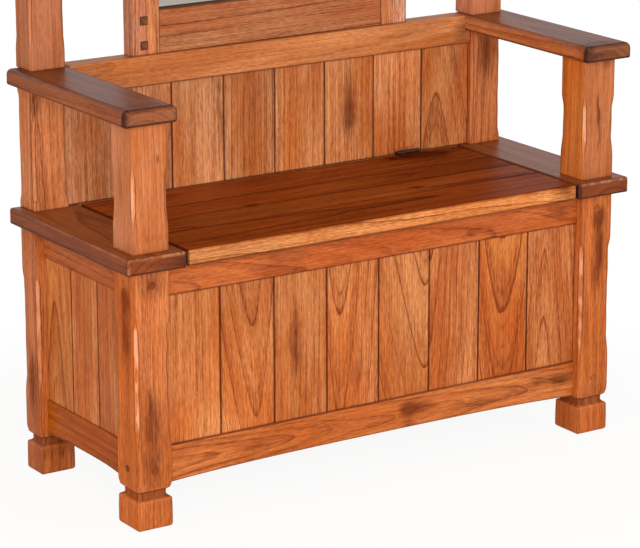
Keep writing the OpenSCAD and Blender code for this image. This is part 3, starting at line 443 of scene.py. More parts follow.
leg("front_left_leg", 1, facing(
    -188, (-463, 166, 19, 36, 0.55, 2), (-467, 216, 8, 26, 0.5, 1), (-466, 104, 22, 24, 0.4),
    (-444, 345, 4, 24, 0.3, 1), (-462, 426, 20, 18, 0.6), (-448, 250, 3, 40, 0.2, 1)) + [
    (-495, -157, 402, 9, 10, 16, 0.9), (-495, -156, 338, 9, 10, 42, 0.8),
    (-495, -150, 130, 9, 18, 60, 0.35)], 0.95, pith=(0.05, 0.03), line=0.22, tone=1.05,
    left=(0.12, -0.02, -0.6))
leg("front_right_leg", 2, facing(
    -188, (468, 408, 10, 12, 1.0), (469, 350, 6, 38, 0.95, 2), (463, 300, 14, 34, 0.3),
    (446, 200, 5, 30, 0.25), (462, 80, 24, 18, 0.3)) + [(428, -160, 300, 9, 8, 60, 0.3)],
    0.9, pith=(-0.04, 0.03), line=0.25, tone=1.08, red=0.08, pink=-0.15)


# Rear legs: the same timbers, less deep, with the same feet and chamfers. They stand flush with the
# back, and the left one is darker near its foot.
leg("rear_left_leg", 3, [(-495, 180, 170, 9, 11, 46, 0.8), (-480, 155, 300, 9, 6, 30, 0.3),
                         (-470, 155, 40, 26, 9, 12, 0.4)],
    0.55, pith=(0.06, 0.03), line=0.25, tone=0.93, left=(0.04, 0.08, 0.3))
leg("rear_right_leg", 4, [(495, 180, 260, 9, 8, 50, 0.4)], 0.55, pith=(-0.05, 0.03), line=0.25, tone=0.93)


# Rails of the chest: 25 mm timbers with their tenons in the legs, 15 mm behind the legs' faces. The
# lower edges of the bottom rails are sawn to a shallow arch, flat in the middle and low at the ends.
rail_wood = wood("amber_stained_rail_wood", "d08348 bf6b2f 6b2705 dc9862", grit=0.85)
left_in, right_in = box("front_left_leg")[1, 0], box("front_right_leg")[0, 0]
front_in, rear_in = box("front_left_leg")[1, 1], box("rear_left_leg")[0, 1]
long_span, side_span = (left_in, right_in), (front_in, rear_in)


def arch(node, rise, span):
    """Lifts the lower part of a rail: z gains rise (1 - |t|^3) (top - z) / (top - low), where t runs
    from -1 to 1 over the span."""
    low, high = box(node)
    along = int(np.argmax(high - low))
    middle, half = sum(span) / 2, (span[1] - span[0]) / 2

    def bend(xyz):
        t = np.clip(np.abs((xyz[..., along] - middle) / half), 0, 1)
        share = np.clip((high[2] - xyz[..., 2]) / (high[2] - low[2]), 0, 1)
        xyz = xyz.copy()
        xyz[..., 2] += rise * (1 - t ** 3) * share
        return xyz
    return bend


def joints(span, strength=0.5):
    """Dark lines at both shoulders of a rail."""
    return [(value, 0.0011, strength) for value in span]


def rail(node, axis, span, spots=(), bow=0.0, **look):
    """A rail between two posts, whose lower edge is arched by bow."""
    single(node, axis, rail_wood, spots, span=span, face="q", seams=joints(span),
           shape=arch(node, bow, span) if bow else None, **look)


bow = 0.008
rail("front_top_rail", "x", long_span, facing(
    -173, (-205, 425, 60, 30, 0.34), (305, 425, 40, 20, 0.14), (-390, 425, 30, 7, 0.3),
    (60, 405, 40, 4, 0.25), (190, 412, 12, 6, 0.45), (390, 425, 26, 12, 0.5)), cut=0.0012,
    flats=(2, 12), step=0.007, pith=(-0.023, 0.06), taper=0.07, pitch=0.0142, tip=0.051, sway=0.007,
    line=0.3, tone=1.07, red=0.62, dirt=(0, 0.6, 0.8, 0), seed=5)
rail("front_bottom_rail", "x", long_span, facing(
    -173, (60, 112, 12, 10, 0.85), (88, 112, 26, 9, 0.7), (62, 84, 14, 7, 0.5), (-255, 104, 26, 6, 0.4),
    (345, 112, 18, 7, 0.6, 3), (398, 108, 20, 9, 0.9, 3), (190, 100, 60, 12, 0.2), (-110, 122, 60, 3, 0.3),
    (210, 96, 40, 4, 0.3)), bow, cut=0.0014, flats=(2, 16), step=0.006, pith=(-0.004, 0.02), taper=0.06,
    pitch=0.009, tip=-0.225, sway=0.018, line=0.42, tone=1.14, red=0.26, dirt=(0, 0.75, 0.6, 0.6), seed=6)
for side in ("left", "right"):
    rail(side + "_top_rail", "y", side_span, cut=0.0012, flats=(2, 12), step=0.007, pith=(0.05, 0.03),
         tone=0.92, red=0.45, line=0.35, dirt=0.3, seed=7 + len(side))
    rail(side + "_bottom_rail", "y", side_span, bow=bow, cut=0.0014, flats=(2, 14), step=0.007,
         pith=(0.045, 0.03), tone=0.84, red=0.75, pink=-0.5, line=0.4, dirt=(0.2, 0.2, 0.6, 0.6),
         seed=9 + len(side))
node, (low, high) = "rear_top_rail", box("rear_top_rail")[:, 2]
between, ledge = box("left_seat_end")[1, 0], box("left_seat_end")[0, 2]
look = dict(face="q", tone=0.85, seed=13)
# The ledge's top face behind the lid is painted dark: painted shade in the gap between the lid and the back
# planks.
build(node, [fitted(node, "x", long_span, q=(low, ledge), cut=0.0012, seams=joints(long_span), **look),
             painted_shade_on_faces(fitted(node, "x", (between, -between), q=(ledge + 0.0001, high), cut=0.0008, **look),
                    (0, 1), 0.95)], rail_wood)
rail("rear_bottom_rail", "x", long_span, cut=0.0014, tone=0.85, seed=14)


# Chest panels: tongued boards 14 mm thick, planed, with a vee at each joint that holds dark stain.
# Each is sawn from another part of the log: some show nested tips, some straight lines.
panel_wood = wood("amber_stained_panel_wood", "d78f58 c36c32 7c3306 d08a52", grit=1.12)


def straight(**look):
    """A board with straight lines."""
    return dict(dict(pith=(0.13, 0.02), taper=0.01, pitch=0.012, sway=0.006, line=0.3), **look)


def planks(node, axis, across, rails, spots, looks, flats=9):
    """Upright boards that fill a node's box, side by side along an axis over a span, with bevelled edges
    that make the vees, dark inside. They are also darker where they meet the rails: dirt with painted shade."""
    low, high = box(node)[:, 2]
    edges = np.linspace(*across, len(looks) + 1)
    wide, points = ("p", (flats, 2)) if axis == "x" else ("q", (2, flats))
    build(node, [fitted(node, "z", (low + 0.0005, high), cut=0.0014, round_end=0.0004, power=1.1, turn=2,
                        flats=points, near=0.0008, step=0.009, face=wide, dirt=0.9, wear=0.0, seed=i,
                        seams=[(z, 0.0012, 0.97) for z in rails],
                        **{wide: (edges[i] + 0.0001, edges[i + 1] - 0.0002)}, **look)
                 for i, look in enumerate(looks)], panel_wood, spots)


rails_z = (box("front_bottom_rail")[1, 2], box("front_top_rail")[0, 2])
# Their slopes of tone make most of them lighter low down and darker at the top: painted shade under the top
# rail and the lid.
planks("front_planks", "x", long_span, rails_z, facing(
    -170, (-171, 275, 8, 54, 0.75, 1), (-46, 190, 9, 20, 0.4, 1), (-34, 224, 7, 22, 0.35, 1),
    (267, 205, 10, 34, 0.22), (267, 350, 6, 34, 0.25), (-330, 300, 3, 60, 0.15, 1),
    (40, 170, 12, 18, 0.2)), [
    straight(pith=(-0.12, 0.02), tone=1.06, fade=0.3),
    dict(pith=(0.012, 0.015), lean=-0.046, taper=-0.14, pitch=0.0235, sway=0.003, line=0.72, tip=0.150,
         tone=1.06, fade=0.36),
    straight(pith=(0.10, 0.02), taper=0.02, line=0.35, tone=0.97, fade=0.1),
    dict(pith=(-0.027, 0.02), taper=-0.10, pitch=0.018, sway=0.012, line=0.75, tip=0.298, tone=1.11,
         fade=0.06),
    dict(pith=(0.045, 0.014), taper=-0.25, pitch=0.040, sway=0.008, line=0.72, tip=0.178, tone=1.01),
    dict(pith=(-0.055, 0.02), taper=-0.07, pitch=0.012, sway=0.016, line=0.6, tip=0.2, tone=1.02, red=0.2,
         fade=0.05),
    dict(pith=(0.0, 0.0485), taper=-0.104, pitch=0.0146, sway=0.004, line=0.68, tip=0.244, tone=1.02,
         red=0.4, pink=-0.2),
    dict(pith=(-0.015, 0.012), taper=0.10, pitch=0.012, sway=0.006, line=0.6, tip=0.36, tone=1.04, red=0.15,
         fade=-0.08)])
side_looks = [straight(tone=1.01, pith=(0.1, 0.02)), straight(tone=1.13, fade=0.1, pith=(-0.1, 0.02)),
              dict(pith=(0.016, 0.018), taper=0.12, pitch=0.016, sway=0.006, line=0.6, tip=0.323, tone=1.05,
                   fade=-0.15, pink=-0.15)]
for node, order in (("left_planks", 1), ("right_planks", -1)):
    planks(node, "y", side_span, rails_z, [
        (-477, 50, 330, 9, 6, 40, 0.25), (-477, -90, 320, 9, 12, 50, 0.3), (-477, 100, 200, 9, 18, 40, 0.3)],
        side_looks[::order])


# Inside of the chest: a plywood rear panel, a boarded floor on square cleats, and a bearer under each
# seat end. None of it is stained.
plain_wood = wood("planed_unstained_wood", "cda37a be9166 8a5c38 d3ad86", rough=0.55)
ply = wood("sanded_plywood", "c9a074 bd9165 94683f c9a074", rough=0.6)
single("chest_back_panel", "x", ply, cut=0.0004, face="q", seed=50, pith=(0.02, 0.3), line=0.4, step=0.03)
low, high = box("chest_floor")[:, 1]
short, split = (left_in + 0.0005, right_in - 0.0005), (low + high) / 2
build("chest_floor", [fitted("chest_floor", "x", ends, y, cut=0.0006, seed=51 + i, step=0.03)
                      for i, (ends, y) in enumerate([
                          (short, (low, front_in + 0.0004)), (None, (front_in + 0.0006, split - 0.0002)),
                          (None, (split + 0.0002, rear_in - 0.0005)), (short, (rear_in - 0.0003, high))])],
      plain_wood)


def pair(node, along, width):
    """The low and the high span of a width at both ends of a node's box along an axis."""
    low, high = box(node)[:, "xyz".index(along)]
    return (low, low + width), (high - width, high)


build("floor_cleats", [fitted("floor_cleats", "x", long_span, y, seed=54, step=0.03)
                       for y in pair("floor_cleats", "y", 0.02)]
      + [fitted("floor_cleats", "y", (front_in + 0.0005, rear_in - 0.0005), x, seed=56, step=0.03)
         for x in pair("floor_cleats", "x", 0.02)], plain_wood)
for node in ("left_seat_bearer", "right_seat_bearer"):
    single(node, "y", plain_wood, seed=58, step=0.03)


# Seat ends and arms: 28 mm boards with rounded edges, their grain front to back. They are stained much
# darker than the rest, the stain has gathered in a dark line behind their front edges, and they are waxed.
dark_wood = wood("dark_stained_board_wood", "d07c40 bd6a32 6a2a10 bc8664", rough=0.36, gloss=0.25, coat=0.04,
                 grit=0.8)


def dark_board(node, top, side, end, end_sheen, pale_edge, **look):
    """A board along y with a depth of stain on its upper face, its edges and its front end. end_sheen is
    how much lighter that end is painted in red, green and blue: a painted sheen. Stain has gathered where
    the upper round begins, and painted shadow lies under the front end. The edge round that end is either
    worn pale with a painted highlight, or lined with stain too."""
    front = box(node)[0, 1]
    piece = fitted(node, "y", flats=(12, 3), step=0.008, line=0.5, sway=0.01, **look)
    marks, back, (sideways, rise) = piece["marks"], piece["xyz"][..., 1] - front, piece["out"].T
    up, sideways = np.clip(rise, 0, 1), np.abs(sideways) * (rise > -0.5)
    near = np.exp(-np.clip(back, 0, None) / 0.003)
    shade_under_end = np.clip(0.011 - back, 0, 0.002) / 0.002 * (rise < -0.6)
    piece["board"][..., 1] = (side + (top - side) * up) * (1 - near) + end * near
    # The front end is painted lighter: a painted sheen.
    piece["tint"] *= 1 + near[..., None] * end_sheen
    # Dark lines where the top round begins, and painted shadow under the front end.
    marks[..., 1] += 0.5 * np.isin(piece["place"], (1, 2)) * (1 - near) + 0.9 * shade_under_end
    if pale_edge:
        # A pale worn front edge with a painted highlight.
        shown = 0.65 * (up > 0.3) + 0.4 * (sideways > 0.9)
        marks[..., 0] += np.exp(-((back - 0.0015) / 0.0018) ** 2) * shown
    else:
        marks[..., 1] += 0.95 * np.exp(-((back - 0.0035) / 0.003) ** 2) * (sideways > 0.6)
    marks[0] = 0
    return piece


# The right arm's higher tone, less red and more pink paint a whitish sheen on it.
for side, s, seed, end, tone, red, pink, arm_side, arm_end, arm_spots in (
        ("left", -1, 60, 0.95, 1.02, 0, 0, 0.54, 0.64,
         [(-513, -206, 712, 4, 6, 14, 0.4), (-465, -180, 726, 40, 16, 6, 0.35),
          (-514, -120, 712, 6, 60, 9, 0.2)]),
        ("right", 1, 64, 1.0, 1.24, -0.3, 0.5, 0.3, 0.95,
         [(424, -203, 712, 9, 12, 10, 0.8), (465, -180, 726, 40, 16, 6, 0.35)])):
    node = side + "_seat_end"
    # The seat end's side towards the lid is painted dark: painted shade in the gap beside the lid.
    build(node, [painted_shade_on_faces(dark_board(
        node, 0.7, 0.92, end, [0.1, 0.08, 0.2], True, cut=(0.0045, 0.0045, 0.003, 0.003),
        round_end=(0.005, 0.005, 0.003, 0.0045), turn=4, pith=(0.02, 0.05), seed=seed, dirt=(0, 0, 0.5, 0.5),
        red=-0.06, tone=1.03, seams=[(box(node)[0, 1] + 0.005, 0.0016, 0.6)]), (-s, 0), 0.85)], dark_wood,
        [(s * 470, -190, 480, 14, 12, 9, 0.25), (s * 450, 100, 480, 6, 40, 9, 0.2)])
    node = side + "_arm_board"
    build(node, [dark_board(
        node, 1.0, arm_side, arm_end, [-0.02, 0.26, 1.35], False, cut=(0.0095, 0.0095, 0.004, 0.004),
        round_end=(0.008, 0.008, 0.004, 0.0095), turn=5, pith=(-0.015, 0.04), seed=seed + 1, wear=0.1,
        dirt=(0, 0, 0.6, 0.6), seams=[(box(node)[0, 1] + 0.0085, 0.0032, 1.0)], tone=tone, red=red,
        pink=pink)], dark_wood, arm_spots)


# Lid: four boards glued edge to edge, grain from side to side, with a fine vee at each joint. Its top
# is dark and waxed, and its front edge is as pale as the rails. Two battens under it keep it flat.
lid_wood = wood("dark_stained_lid_wood", "d88550 c4703a 702d05 dd9c6c", gloss=0.03, grit=1.1)
low, high = box("lid_boards")
lid_edges = [low[1], -0.091, -0.017, 0.057, high[1]]
leaves = box("lid_hinge_leaves")
hinge_x, notch_half, notch_y = leaves[1, 0] - 0.025, 0.026, leaves[0, 1]


def notched(xyz):
    """Draws the lid's rear edge in to y = notch_y at each hinge."""
    inside = np.abs(np.abs(xyz[..., 0]) - hinge_x) < notch_half + 0.0002
    xyz = xyz.copy()
    xyz[..., 1] = np.where(inside & (xyz[..., 1] > notch_y), notch_y, xyz[..., 1])
    return xyz


def lid_board(i, pith, depth, edge):
    """Board i of the lid, counted from the front, with a depth of stain on its top and on its edges."""
    front, rear = i == 0, i == 3
    y0, y1 = lid_edges[i] + 0.0001 * (not front), lid_edges[i + 1] - 0.0001 * (not rear)
    # The two rear boards are painted darker towards their right ends: painted shade.
    look = dict(pith=pith, taper=0.02, line=0.45, sway=0.012, seed=70 + i, wear=0.12, red=0.12, pink=-0.2,
                tone=1.58 if front else 1.44, fade=0.3 if i > 1 else 0.0)
    cut = (0.001, 0.0045, 0.003, 0.0006) if front else (0.0011, 0.0011, 0.0006, 0.0006)
    notch_ends = np.add.outer([-hinge_x, hinge_x], notch_half * np.array([-1, 1])).ravel()
    at = np.concatenate([notch_ends, notch_ends + [-0.0004, 0.0004] * 2]) if rear else ()
    # The front board's lower front edge is painted dark: painted shade where the lid overhangs the top rail.
    piece = fitted("lid_boards", "x", p=(y0, y1), cut=cut, round_end=0.0025, flats=(12, 3), near=0.002,
                   step=0.009, at=at, dirt=(0, 0, 0.75 * front, 0), shape=notched if rear else None, **look)
    x, y, _ = np.moveaxis(piece["xyz"], -1, 0)
    up, marks = np.clip(piece["out"][:, 1], 0, 1), piece["marks"]
    piece["board"][..., 1] = edge + (depth - edge) * up
    if front:
        piece["tint"] *= 1 + (1 - up)[..., None] * ([-0.22, 0.03, 0.5] + 0.12 * x[..., None] / high[0])
    # Dark lines along the joints on the top; at the lid's rear edge painted shade in the gap to the back,
    # and the ends are painted dark as shade in the gaps beside the seat ends.
    rim = np.exp(-((y - y1) / 0.0022) ** 2) + (not front) * np.exp(-((y - y0) / 0.0022) ** 2)
    marks[..., 1] += np.clip(rim, 0, 1) * up * 0.85 + 0.7 * (np.abs(x) > high[0] - 0.0022)
    marks[..., 1] += 0.8 * (piece["place"] == 2) * front
    np.clip(marks, 0, 1, marks)
    return piece


# The dark spots at the lid's rear, near each hinge, are painted shadow of the hinges.
build("lid_boards", [lid_board(0, (0.02, 0.04), 1.0, 0.0), lid_board(1, (-0.03, 0.03), 0.9, 0.7),
                     lid_board(2, (0.005, 0.04), 0.95, 0.7), lid_board(3, (0.03, 0.03), 0.9, 0.7)], lid_wood,
      [(-157, -10, 480, 9, 5, 9, 1.0), (153, -62, 480, 9, 5, 9, 1.0), (-330, -165, 480, 60, 12, 9, 0.4),
       (60, 100, 480, 70, 6, 9, 0.25), (284, 140, 480, 30, 12, 9, 1.0), (330, 128, 480, 26, 12, 9, 0.7),
       (300, 110, 480, 90, 45, 9, 0.3), (378, -205, 466, 26, 5, 20, 0.6), (-300, 120, 480, 50, 24, 9, 0.5),
       (120, -60, 480, 60, 3, 9, 0.35), (-230, -8, 480, 60, 3, 9, 0.35)])
build("lid_battens", [fitted("lid_battens", "y", p=x, cut=0.002, round_end=0.002, seed=75, step=0.03)
                      for x in pair("lid_battens", "x", 0.06)], plain_wood)


# Hinges: two steel butt hinges let into the lid's rear edge and the rail behind it, oxidised to a
# warm near-black, with countersunk screws. The solids have their true shape and keep it.
def iron(name, base, rust):
    """Blackened steel: near-black oxide, mottled with a little brown."""
    material = bpy.data.materials.new(name)
    t = cleared(material)
    place = add(t, "TexCoord").outputs["Object"]
    cloud = add(t, "TexNoise", {"Vector": place, "Scale": 90.0, "Detail": 4.0}).outputs["Fac"]
    grit = add(t, "TexNoise", {"Vector": place, "Scale": 900.0, "Detail": 2.0}).outputs["Fac"]
    colour = add(t, "Mix", {0: cloud, 6: linear(base), 7: linear(rust)}, data_type="RGBA").outputs[2]
    rough = add(t, "MapRange", {"Value": cloud, "To Min": 0.32, "To Max": 0.55}).outputs[0]
    bump = add(t, "Bump", {"Strength": 0.25, "Distance": 0.0002, "Height": grit}).outputs[0]
    shader = add(t, "BsdfPrincipled", {
        "Base Color": colour, "Roughness": rough, "Normal": bump, "Metallic": 0.7})
    add(t, "OutputMaterial", {"Surface": shader.outputs[0]})
    return material


hinge_steel = iron("blackened_hinge_steel", "30241d", "563626")
for node in ("lid_hinge_leaves", "frame_hinge_leaves", "hinge_pins", "lid_hinge_screws",
             "frame_hinge_screws", "backing_clips"):
    frame["nodes"][node].data.materials.clear()
    frame["nodes"][node].data.materials.append(hinge_steel)


# Arm posts: short lengths of the leg timber between the seat ends and the arms, with stopped chamfers
# on all four corners. The right one has a dark wandering crack.
arm_look = dict(material=smooth_wood, chamfer=(0.512, 0.632, 0.0050, 0.045, 0.026), wear_and_highlight=0.95, line=0.3)
post("left_arm_post", phase=5, spots=facing(-188, (-446, 636, 2.5, 5, 0.7), (-461, 505, 28, 5, 0.3)) + [
    (-495, -150, 600, 9, 6, 50, 0.35)], seed=80, pith=(-0.04, 0.03), tone=0.95, red=-0.2, pink=0.2,
    left=(0.1, 0.22, 0.5), **arm_look)
post("right_arm_post", phase=6, spots=facing(
    -188, (461, 612, 1.3, 12, 0.95, 2.4), (462, 594, 1.6, 10, 0.95, 2.4), (461, 560, 1.0, 20, 0.7, 2),
    (461, 600, 8, 44, 0.3, 2), (474, 690, 16, 10, 0.35), (444, 590, 3, 40, 0.25, 1)), seed=81,
    pith=(0.05, 0.03), tone=0.86, pink=0.1, left=(0.28, 0.3, -0.1), flats=(34, 14), step=0.0035, **arm_look)


# Rear posts: mid posts between the seat and the arms, and tall posts that stand on the arms and carry
# the crown, with long stopped chamfers that are only a little worn.
# The upper posts' pink lifts their blue: partly their own colour and partly a painted whitish sheen.
for side, s, seed, mid_spots, mid, upper in (
        ("left", -1, 84, facing(155, (-489, 668, 7, 22, 0.6), (-452, 560, 9, 60, 0.2, 1)),
         dict(tone=1.1, red=-0.4, pink=0.3), dict(tone=0.86, pink=0.5)),
        ("right", 1, 86, facing(155, (462, 656, 14, 26, 0.8, 2), (470, 610, 12, 22, 0.3, 2),
                                (455, 560, 5, 30, 0.3)), dict(tone=1.0), dict(tone=1.03, pink=0.65))):
    node = side + "_mid_post"
    low, high = box(node)[:, 2] + [0.008, -0.008]
    post(node, post_wood, (low, high, 0.0046, 0.016, 0.016), seed, mid_spots, wear_and_highlight=0.15, seed=seed,
         pith=(0.04 * s, 0.03), line=0.3, **mid)
    node = side + "_upper_post"
    post(node, smooth_wood, (box(node)[0, 2] + 0.03, 1.740, 0.0036, 0.03, 0.016), seed + 1,
         facing(155, (s * 470, 1180, 5, 60, 0.35, 2)), wear_and_highlight=0.1, seed=seed + 1, pith=(0.05 * s, 0.03),
         line=0.22, red=-0.25, flats=(8, 6), step=0.012, **upper)


# Seat back: tongued boards like the chest's, under a thick rail whose top is level with the arms and
# is notched round them.
post_in = (box("left_mid_post")[1, 0], box("right_mid_post")[0, 0])
low, high = box("back_rail")[:, 2]
under_arm = box("left_arm_board")[0, 2]
# Several are painted lighter low down and darker high up: painted light on their lower part.
planks("back_planks", "x", post_in, (box("lid_boards")[1, 2] + 0.001, low), facing(
    165, (-118, 648, 1.3, 24, 0.9, 1), (-112, 585, 5, 40, 0.6, 1), (160, 585, 9, 42, 0.75, 1),
    (157, 558, 10, 20, 0.35), (-60, 505, 15, 14, 0.25), (52, 636, 16, 16, 0.25), (-44, 622, 9, 40, 0.22, 1),
    (395, 520, 8, 40, 0.2), (400, 640, 18, 20, 0.3), (286, 484, 26, 5, 0.7), (-260, 560, 30, 60, 0.3),
    (262, 525, 1.8, 8, 0.5)), [
    straight(pith=(-0.10, 0.02), tone=1.12, red=-0.4, pink=0.5), straight(tone=1.08, red=-0.4, pink=0.45),
    straight(pith=(-0.09, 0.02), line=0.2, tone=1.11, fade=0.35, red=-0.3, pink=0.3),
    straight(tone=0.98, fade=0.25, pith=(0.1, 0.02), line=0.4, red=-0.35, pink=0.3),
    straight(pith=(0.08, 0.02), tone=1.17, fade=0.25, line=0.25, red=-0.3, pink=0.2),
    straight(pith=(-0.07, 0.02), tone=1.19, fade=0.2, sway=0.012, red=-0.2, pink=0.15),
    straight(tone=1.28, red=-0.15, pink=0.2),
    dict(pith=(-0.019, 0.014), taper=0.2, pitch=0.045, sway=0.004, line=0.9, tip=0.588, tone=1.03)],
    flats=26)
rail_look = dict(face="q", step=0.012, seed=98, sway=0.012, tone=1.18, red=-0.25, pink=0.3)
arms_in = (box("left_arm_board")[1, 0], box("right_arm_board")[0, 0])
# The dark spot at the right end of its front is painted shadow of the right arm.
build("back_rail", [
    fitted("back_rail", "x", post_in, q=(low, under_arm), cut=0.0014, flats=(4, 6), pith=(0.03, 0.05),
           line=0.2, dirt=(0, 0, 0.6, 0.6), **rail_look),
    fitted("back_rail", "x", arms_in, q=(under_arm + 0.0001, high), cut=(0.0025, 0.0025, 0.0002, 0.0002),
           turn=4, flats=(6, 6), pith=(0.004, 0.05), line=0.22, **rail_look)], rail_wood,
    facing(160, (-60, 712, 50, 4, 0.2), (290, 706, 60, 7, 0.35), (412, 700, 14, 20, 0.5)))


# Mirror frame: two stiles, each of two strips glued side by side, a bottom rail and an arched top rail,
# tenoned together and locked with dark square pegs. The mirror lies in a rebate behind it, so each
# member is thinner in front of the glass, and ends short of it behind.
frame_wood = wood("amber_stained_frame_wood", "d58f60 c17042 6b2906 e0a874")
foot_z, head_z = box("back_rail")[1, 2], box("upper_rail")[0, 2]
glass = box("mirror_glass") + np.array([[-0.0005, 0, 0], [0.0005, 0, 0.0005]])
glass_front, gap, strip = glass[0, 1], 0.0001, 0.0258
for side, s in (("left", -1), ("right", 1)):
    node = side + "_mirror_stile"
    low, high = box(node)
    outer, inner = (low[0], high[0]) if s < 0 else (high[0], low[0])
    glue = inner + s * strip
    in_front, behind = (low[1], glass_front), (glass_front + gap, high[1])
    look = dict(flats=(5, 3), near=0.0006, line=0.35)
    shown = dict(look, span=(foot_z, head_z), round_end=0.0006, step=0.012, seams=[(foot_z, 0.0016, 0.8)])
    build(node, [
        fitted(node, "z", p=sorted((outer, glue + s * gap)),
               cut=0.001 + 0.003 * np.array([0, 0, s < 0, s > 0]), seed=110 + s, pith=(0.03, 0.04),
               tone=1.22, red=-0.5, pink=0.62, dirt=0.45, **shown),
        # The inner strip's face towards the glass is painted dark: painted shade in the rebate.
        painted_shade_on_faces(fitted(node, "z", p=sorted((glue - s * gap, inner - s * gap)), q=in_front, seed=114 + s,
                      pith=(-0.03, 0.03), tone=1.12, dirt=0.3, **shown), (-s, 0), 0.75)] + [
        fitted(node, "z", z, sorted((glue - s * gap, x)), behind, cut=0.0006, round_end=0.0004, step=0.03,
               seed=114 + s, pith=(-0.03, 0.043), tone=1.12, **look)
        for z, x in (((foot_z, glass[0, 2]), inner), ((glass[0, 2], glass[1, 2]), s * glass[1, 0]),
                     ((glass[1, 2], head_z), inner))], frame_wood)
rail_span = (box("left_mirror_stile")[1, 0] + gap, box("right_mirror_stile")[0, 0] - gap)
shown = dict(span=rail_span, p=in_front, face="q", flats=(3, 10), step=0.01, pith=(0.045, 0.04),
             seams=joints(rail_span, 0.4))
hidden = dict(span=rail_span, p=behind, face="q", step=0.03)
build("mirror_bottom_rail", [
    # Its top face in front of the glass is painted dark: painted shade in the rebate.
    painted_shade_on_faces(fitted("mirror_bottom_rail", "x", cut=(0.001, 0.004, 0.001, 0.001), seed=120, line=0.5, tone=0.86,
                  dirt=(0, 0, 0.9, 0.5), **shown), (0, 1), 0.85),
    fitted("mirror_bottom_rail", "x", q=(box("mirror_bottom_rail")[0, 2], glass[0, 2]), seed=120, tone=0.91,
           **hidden)], frame_wood)
build("mirror_top_rail", [
    fitted("mirror_top_rail", "x", cut=(0.001, 0.001, 0.004, 0.001), seed=121, line=0.35, tone=0.95,
           shape=arch("mirror_top_rail", 0.024, rail_span), **shown),
    fitted("mirror_top_rail", "x", q=(glass[1, 2], box("mirror_top_rail")[1, 2]), seed=121, tone=0.95,
           **hidden)], frame_wood)
low, high = box("square_pegs")[:, 1]
peg_x, peg_z, across = 0.264, (0.743, 0.787, 1.724, 1.768), np.array([-0.0084, 0.0084])
build("square_pegs", [bar("y", (low - 0.0003, high), x + across, z + across, 0.0008, 0.0012, seed=130,
                          flats=(3, 3), red=-0.35, pink=0.5, **look)
                      for x, look in ((-peg_x, dict(dark=0.9, tone=0.55, dirt=0.2)),
                                      (peg_x, dict(tone=1.25))) for z in peg_z], frame_wood)
single("mirror_backing", "z", ply, cut=0.0004, round_end=0.0004, seed=131, step=0.03, pith=(0.02, 0.3),
       line=0.4)


# Mirror: 4 mm silvered glass with ground edges. Faint cloudiness of the silvering shows over it.
mirror = bpy.data.materials.new("silvered_glass")
t = cleared(mirror)
haze = add(t, "TexNoise", {
    "Vector": add(t, "TexCoord").outputs["Object"], "Scale": 9.0, "Detail": 5.0}).outputs["Fac"]
tint = add(t, "Mix", {0: haze, 6: linear("c2c2bd"), 7: linear("b4b5b0")}, data_type="RGBA").outputs[2]
gloss = add(t, "MapRange", {
    "Value": haze, "From Min": 0.3, "From Max": 0.8, "To Min": 0.015, "To Max": 0.05}).outputs[0]
shader = add(t, "BsdfPrincipled", {"Base Color": tint, "Roughness": gloss, "Metallic": 1.0})
add(t, "OutputMaterial", {"Surface": shader.outputs[0]})
single("mirror_glass", "z", mirror, cut=0.0006, round_end=0.0006, flats=(2, 1), step=0.1)


# Upper rail and crown: a deep rail between the tall posts, a cove moulding planted round the front and
# sides, mitred at the corners, and a dark crown board over it.
rail("upper_rail", "x", post_in, facing(160, (-180, 1860, 60, 7, 0.35), (210, 1830, 50, 6, 0.3)), cut=0.0014,
     flats=(4, 12), step=0.01, seed=140, pith=(0.0, 0.05), taper=0.05, line=0.5, sway=0.012)


def moulding(axis, ends, wall, sign, base):
    """A length of cove moulding on a wall. Its section goes out from the wall by o and up from the base
    by z: a 7 mm fillet, a cove o = 20 - 13 cos a, z = 7 + 31 sin a for a from 0 to 90 degrees, and a
    7 mm lip. Its mitred end lies o beyond the corner."""
    a = np.linspace(0, np.pi / 2, 12)
    o = np.concatenate([[0, 6, 6.8, 7, 7], 20 - 13 * np.cos(a), [20, 20, 19.7, 19, 0]]) / 1000
    up = np.concatenate([[0, 0, 0.3, 1, 6], 7 + 31 * np.sin(a), [38.5, 44, 44.7, 45, 45]])
    s = np.linspace(0, 1, 60)[:, None]
    far_end = ends[1] + o if axis == "x" else ends[1]
    along = (ends[0] - o) + (far_end - ends[0] + o) * s
    local = np.stack([along, wall + sign * o + 0 * s, base + up / 1000 + 0 * s], -1)
    piece = timber(axis, local, np.full(len(o), -1.0), np.zeros((len(o), 2)), pith=(0.03, 0.03),
                   seed=150 + sign, line=0.3, tone=0.97)
    piece["flip"] = (axis == "y") != (sign < 0)
    # Pale lines along the lip and the bottom edge; the dark line above the fillet is painted shade in the
    # crease.
    piece["marks"][..., 0] = 0.35 * (np.exp(-((up - 44.5) / 1.2) ** 2) + np.exp(-(up - 0.5) ** 2))
    piece["marks"][..., 1] = 0.4 * np.exp(-(up - 7.2) ** 2)
    return piece


low, high = box("crown_moulding")
post_low, post_high = box("left_upper_post")[0], box("right_upper_post")[1]
flank = (post_low[1] + 0.0004, high[1])
build("crown_moulding", [moulding("x", (post_low[0], post_high[0]), post_low[1], -1, low[2]),
                         moulding("y", flank, post_low[0], -1, low[2]),
                         moulding("y", flank, post_high[0], 1, low[2])], post_wood)
single("crown_board", "x", dark_wood, cut=(0.001, 0.0045, 0.003, 0.001),
       round_end=(0.003, 0.001, 0.003, 0.0045), turn=4, flats=(10, 4), step=0.012, seed=145,
       pith=(0.02, 0.05), line=0.5, wear=0.3, dark=0.8)


# Plugs and dowels: round plugs cover the draw bores of the front legs, dark on the left leg and matched
# to the wood on the right one. Dowels hold posts and boards together.
plug_r, plug_l, plug_sunk, bore_z = 0.0069, 0.0080, 0.0077, (0.105, 0.425)


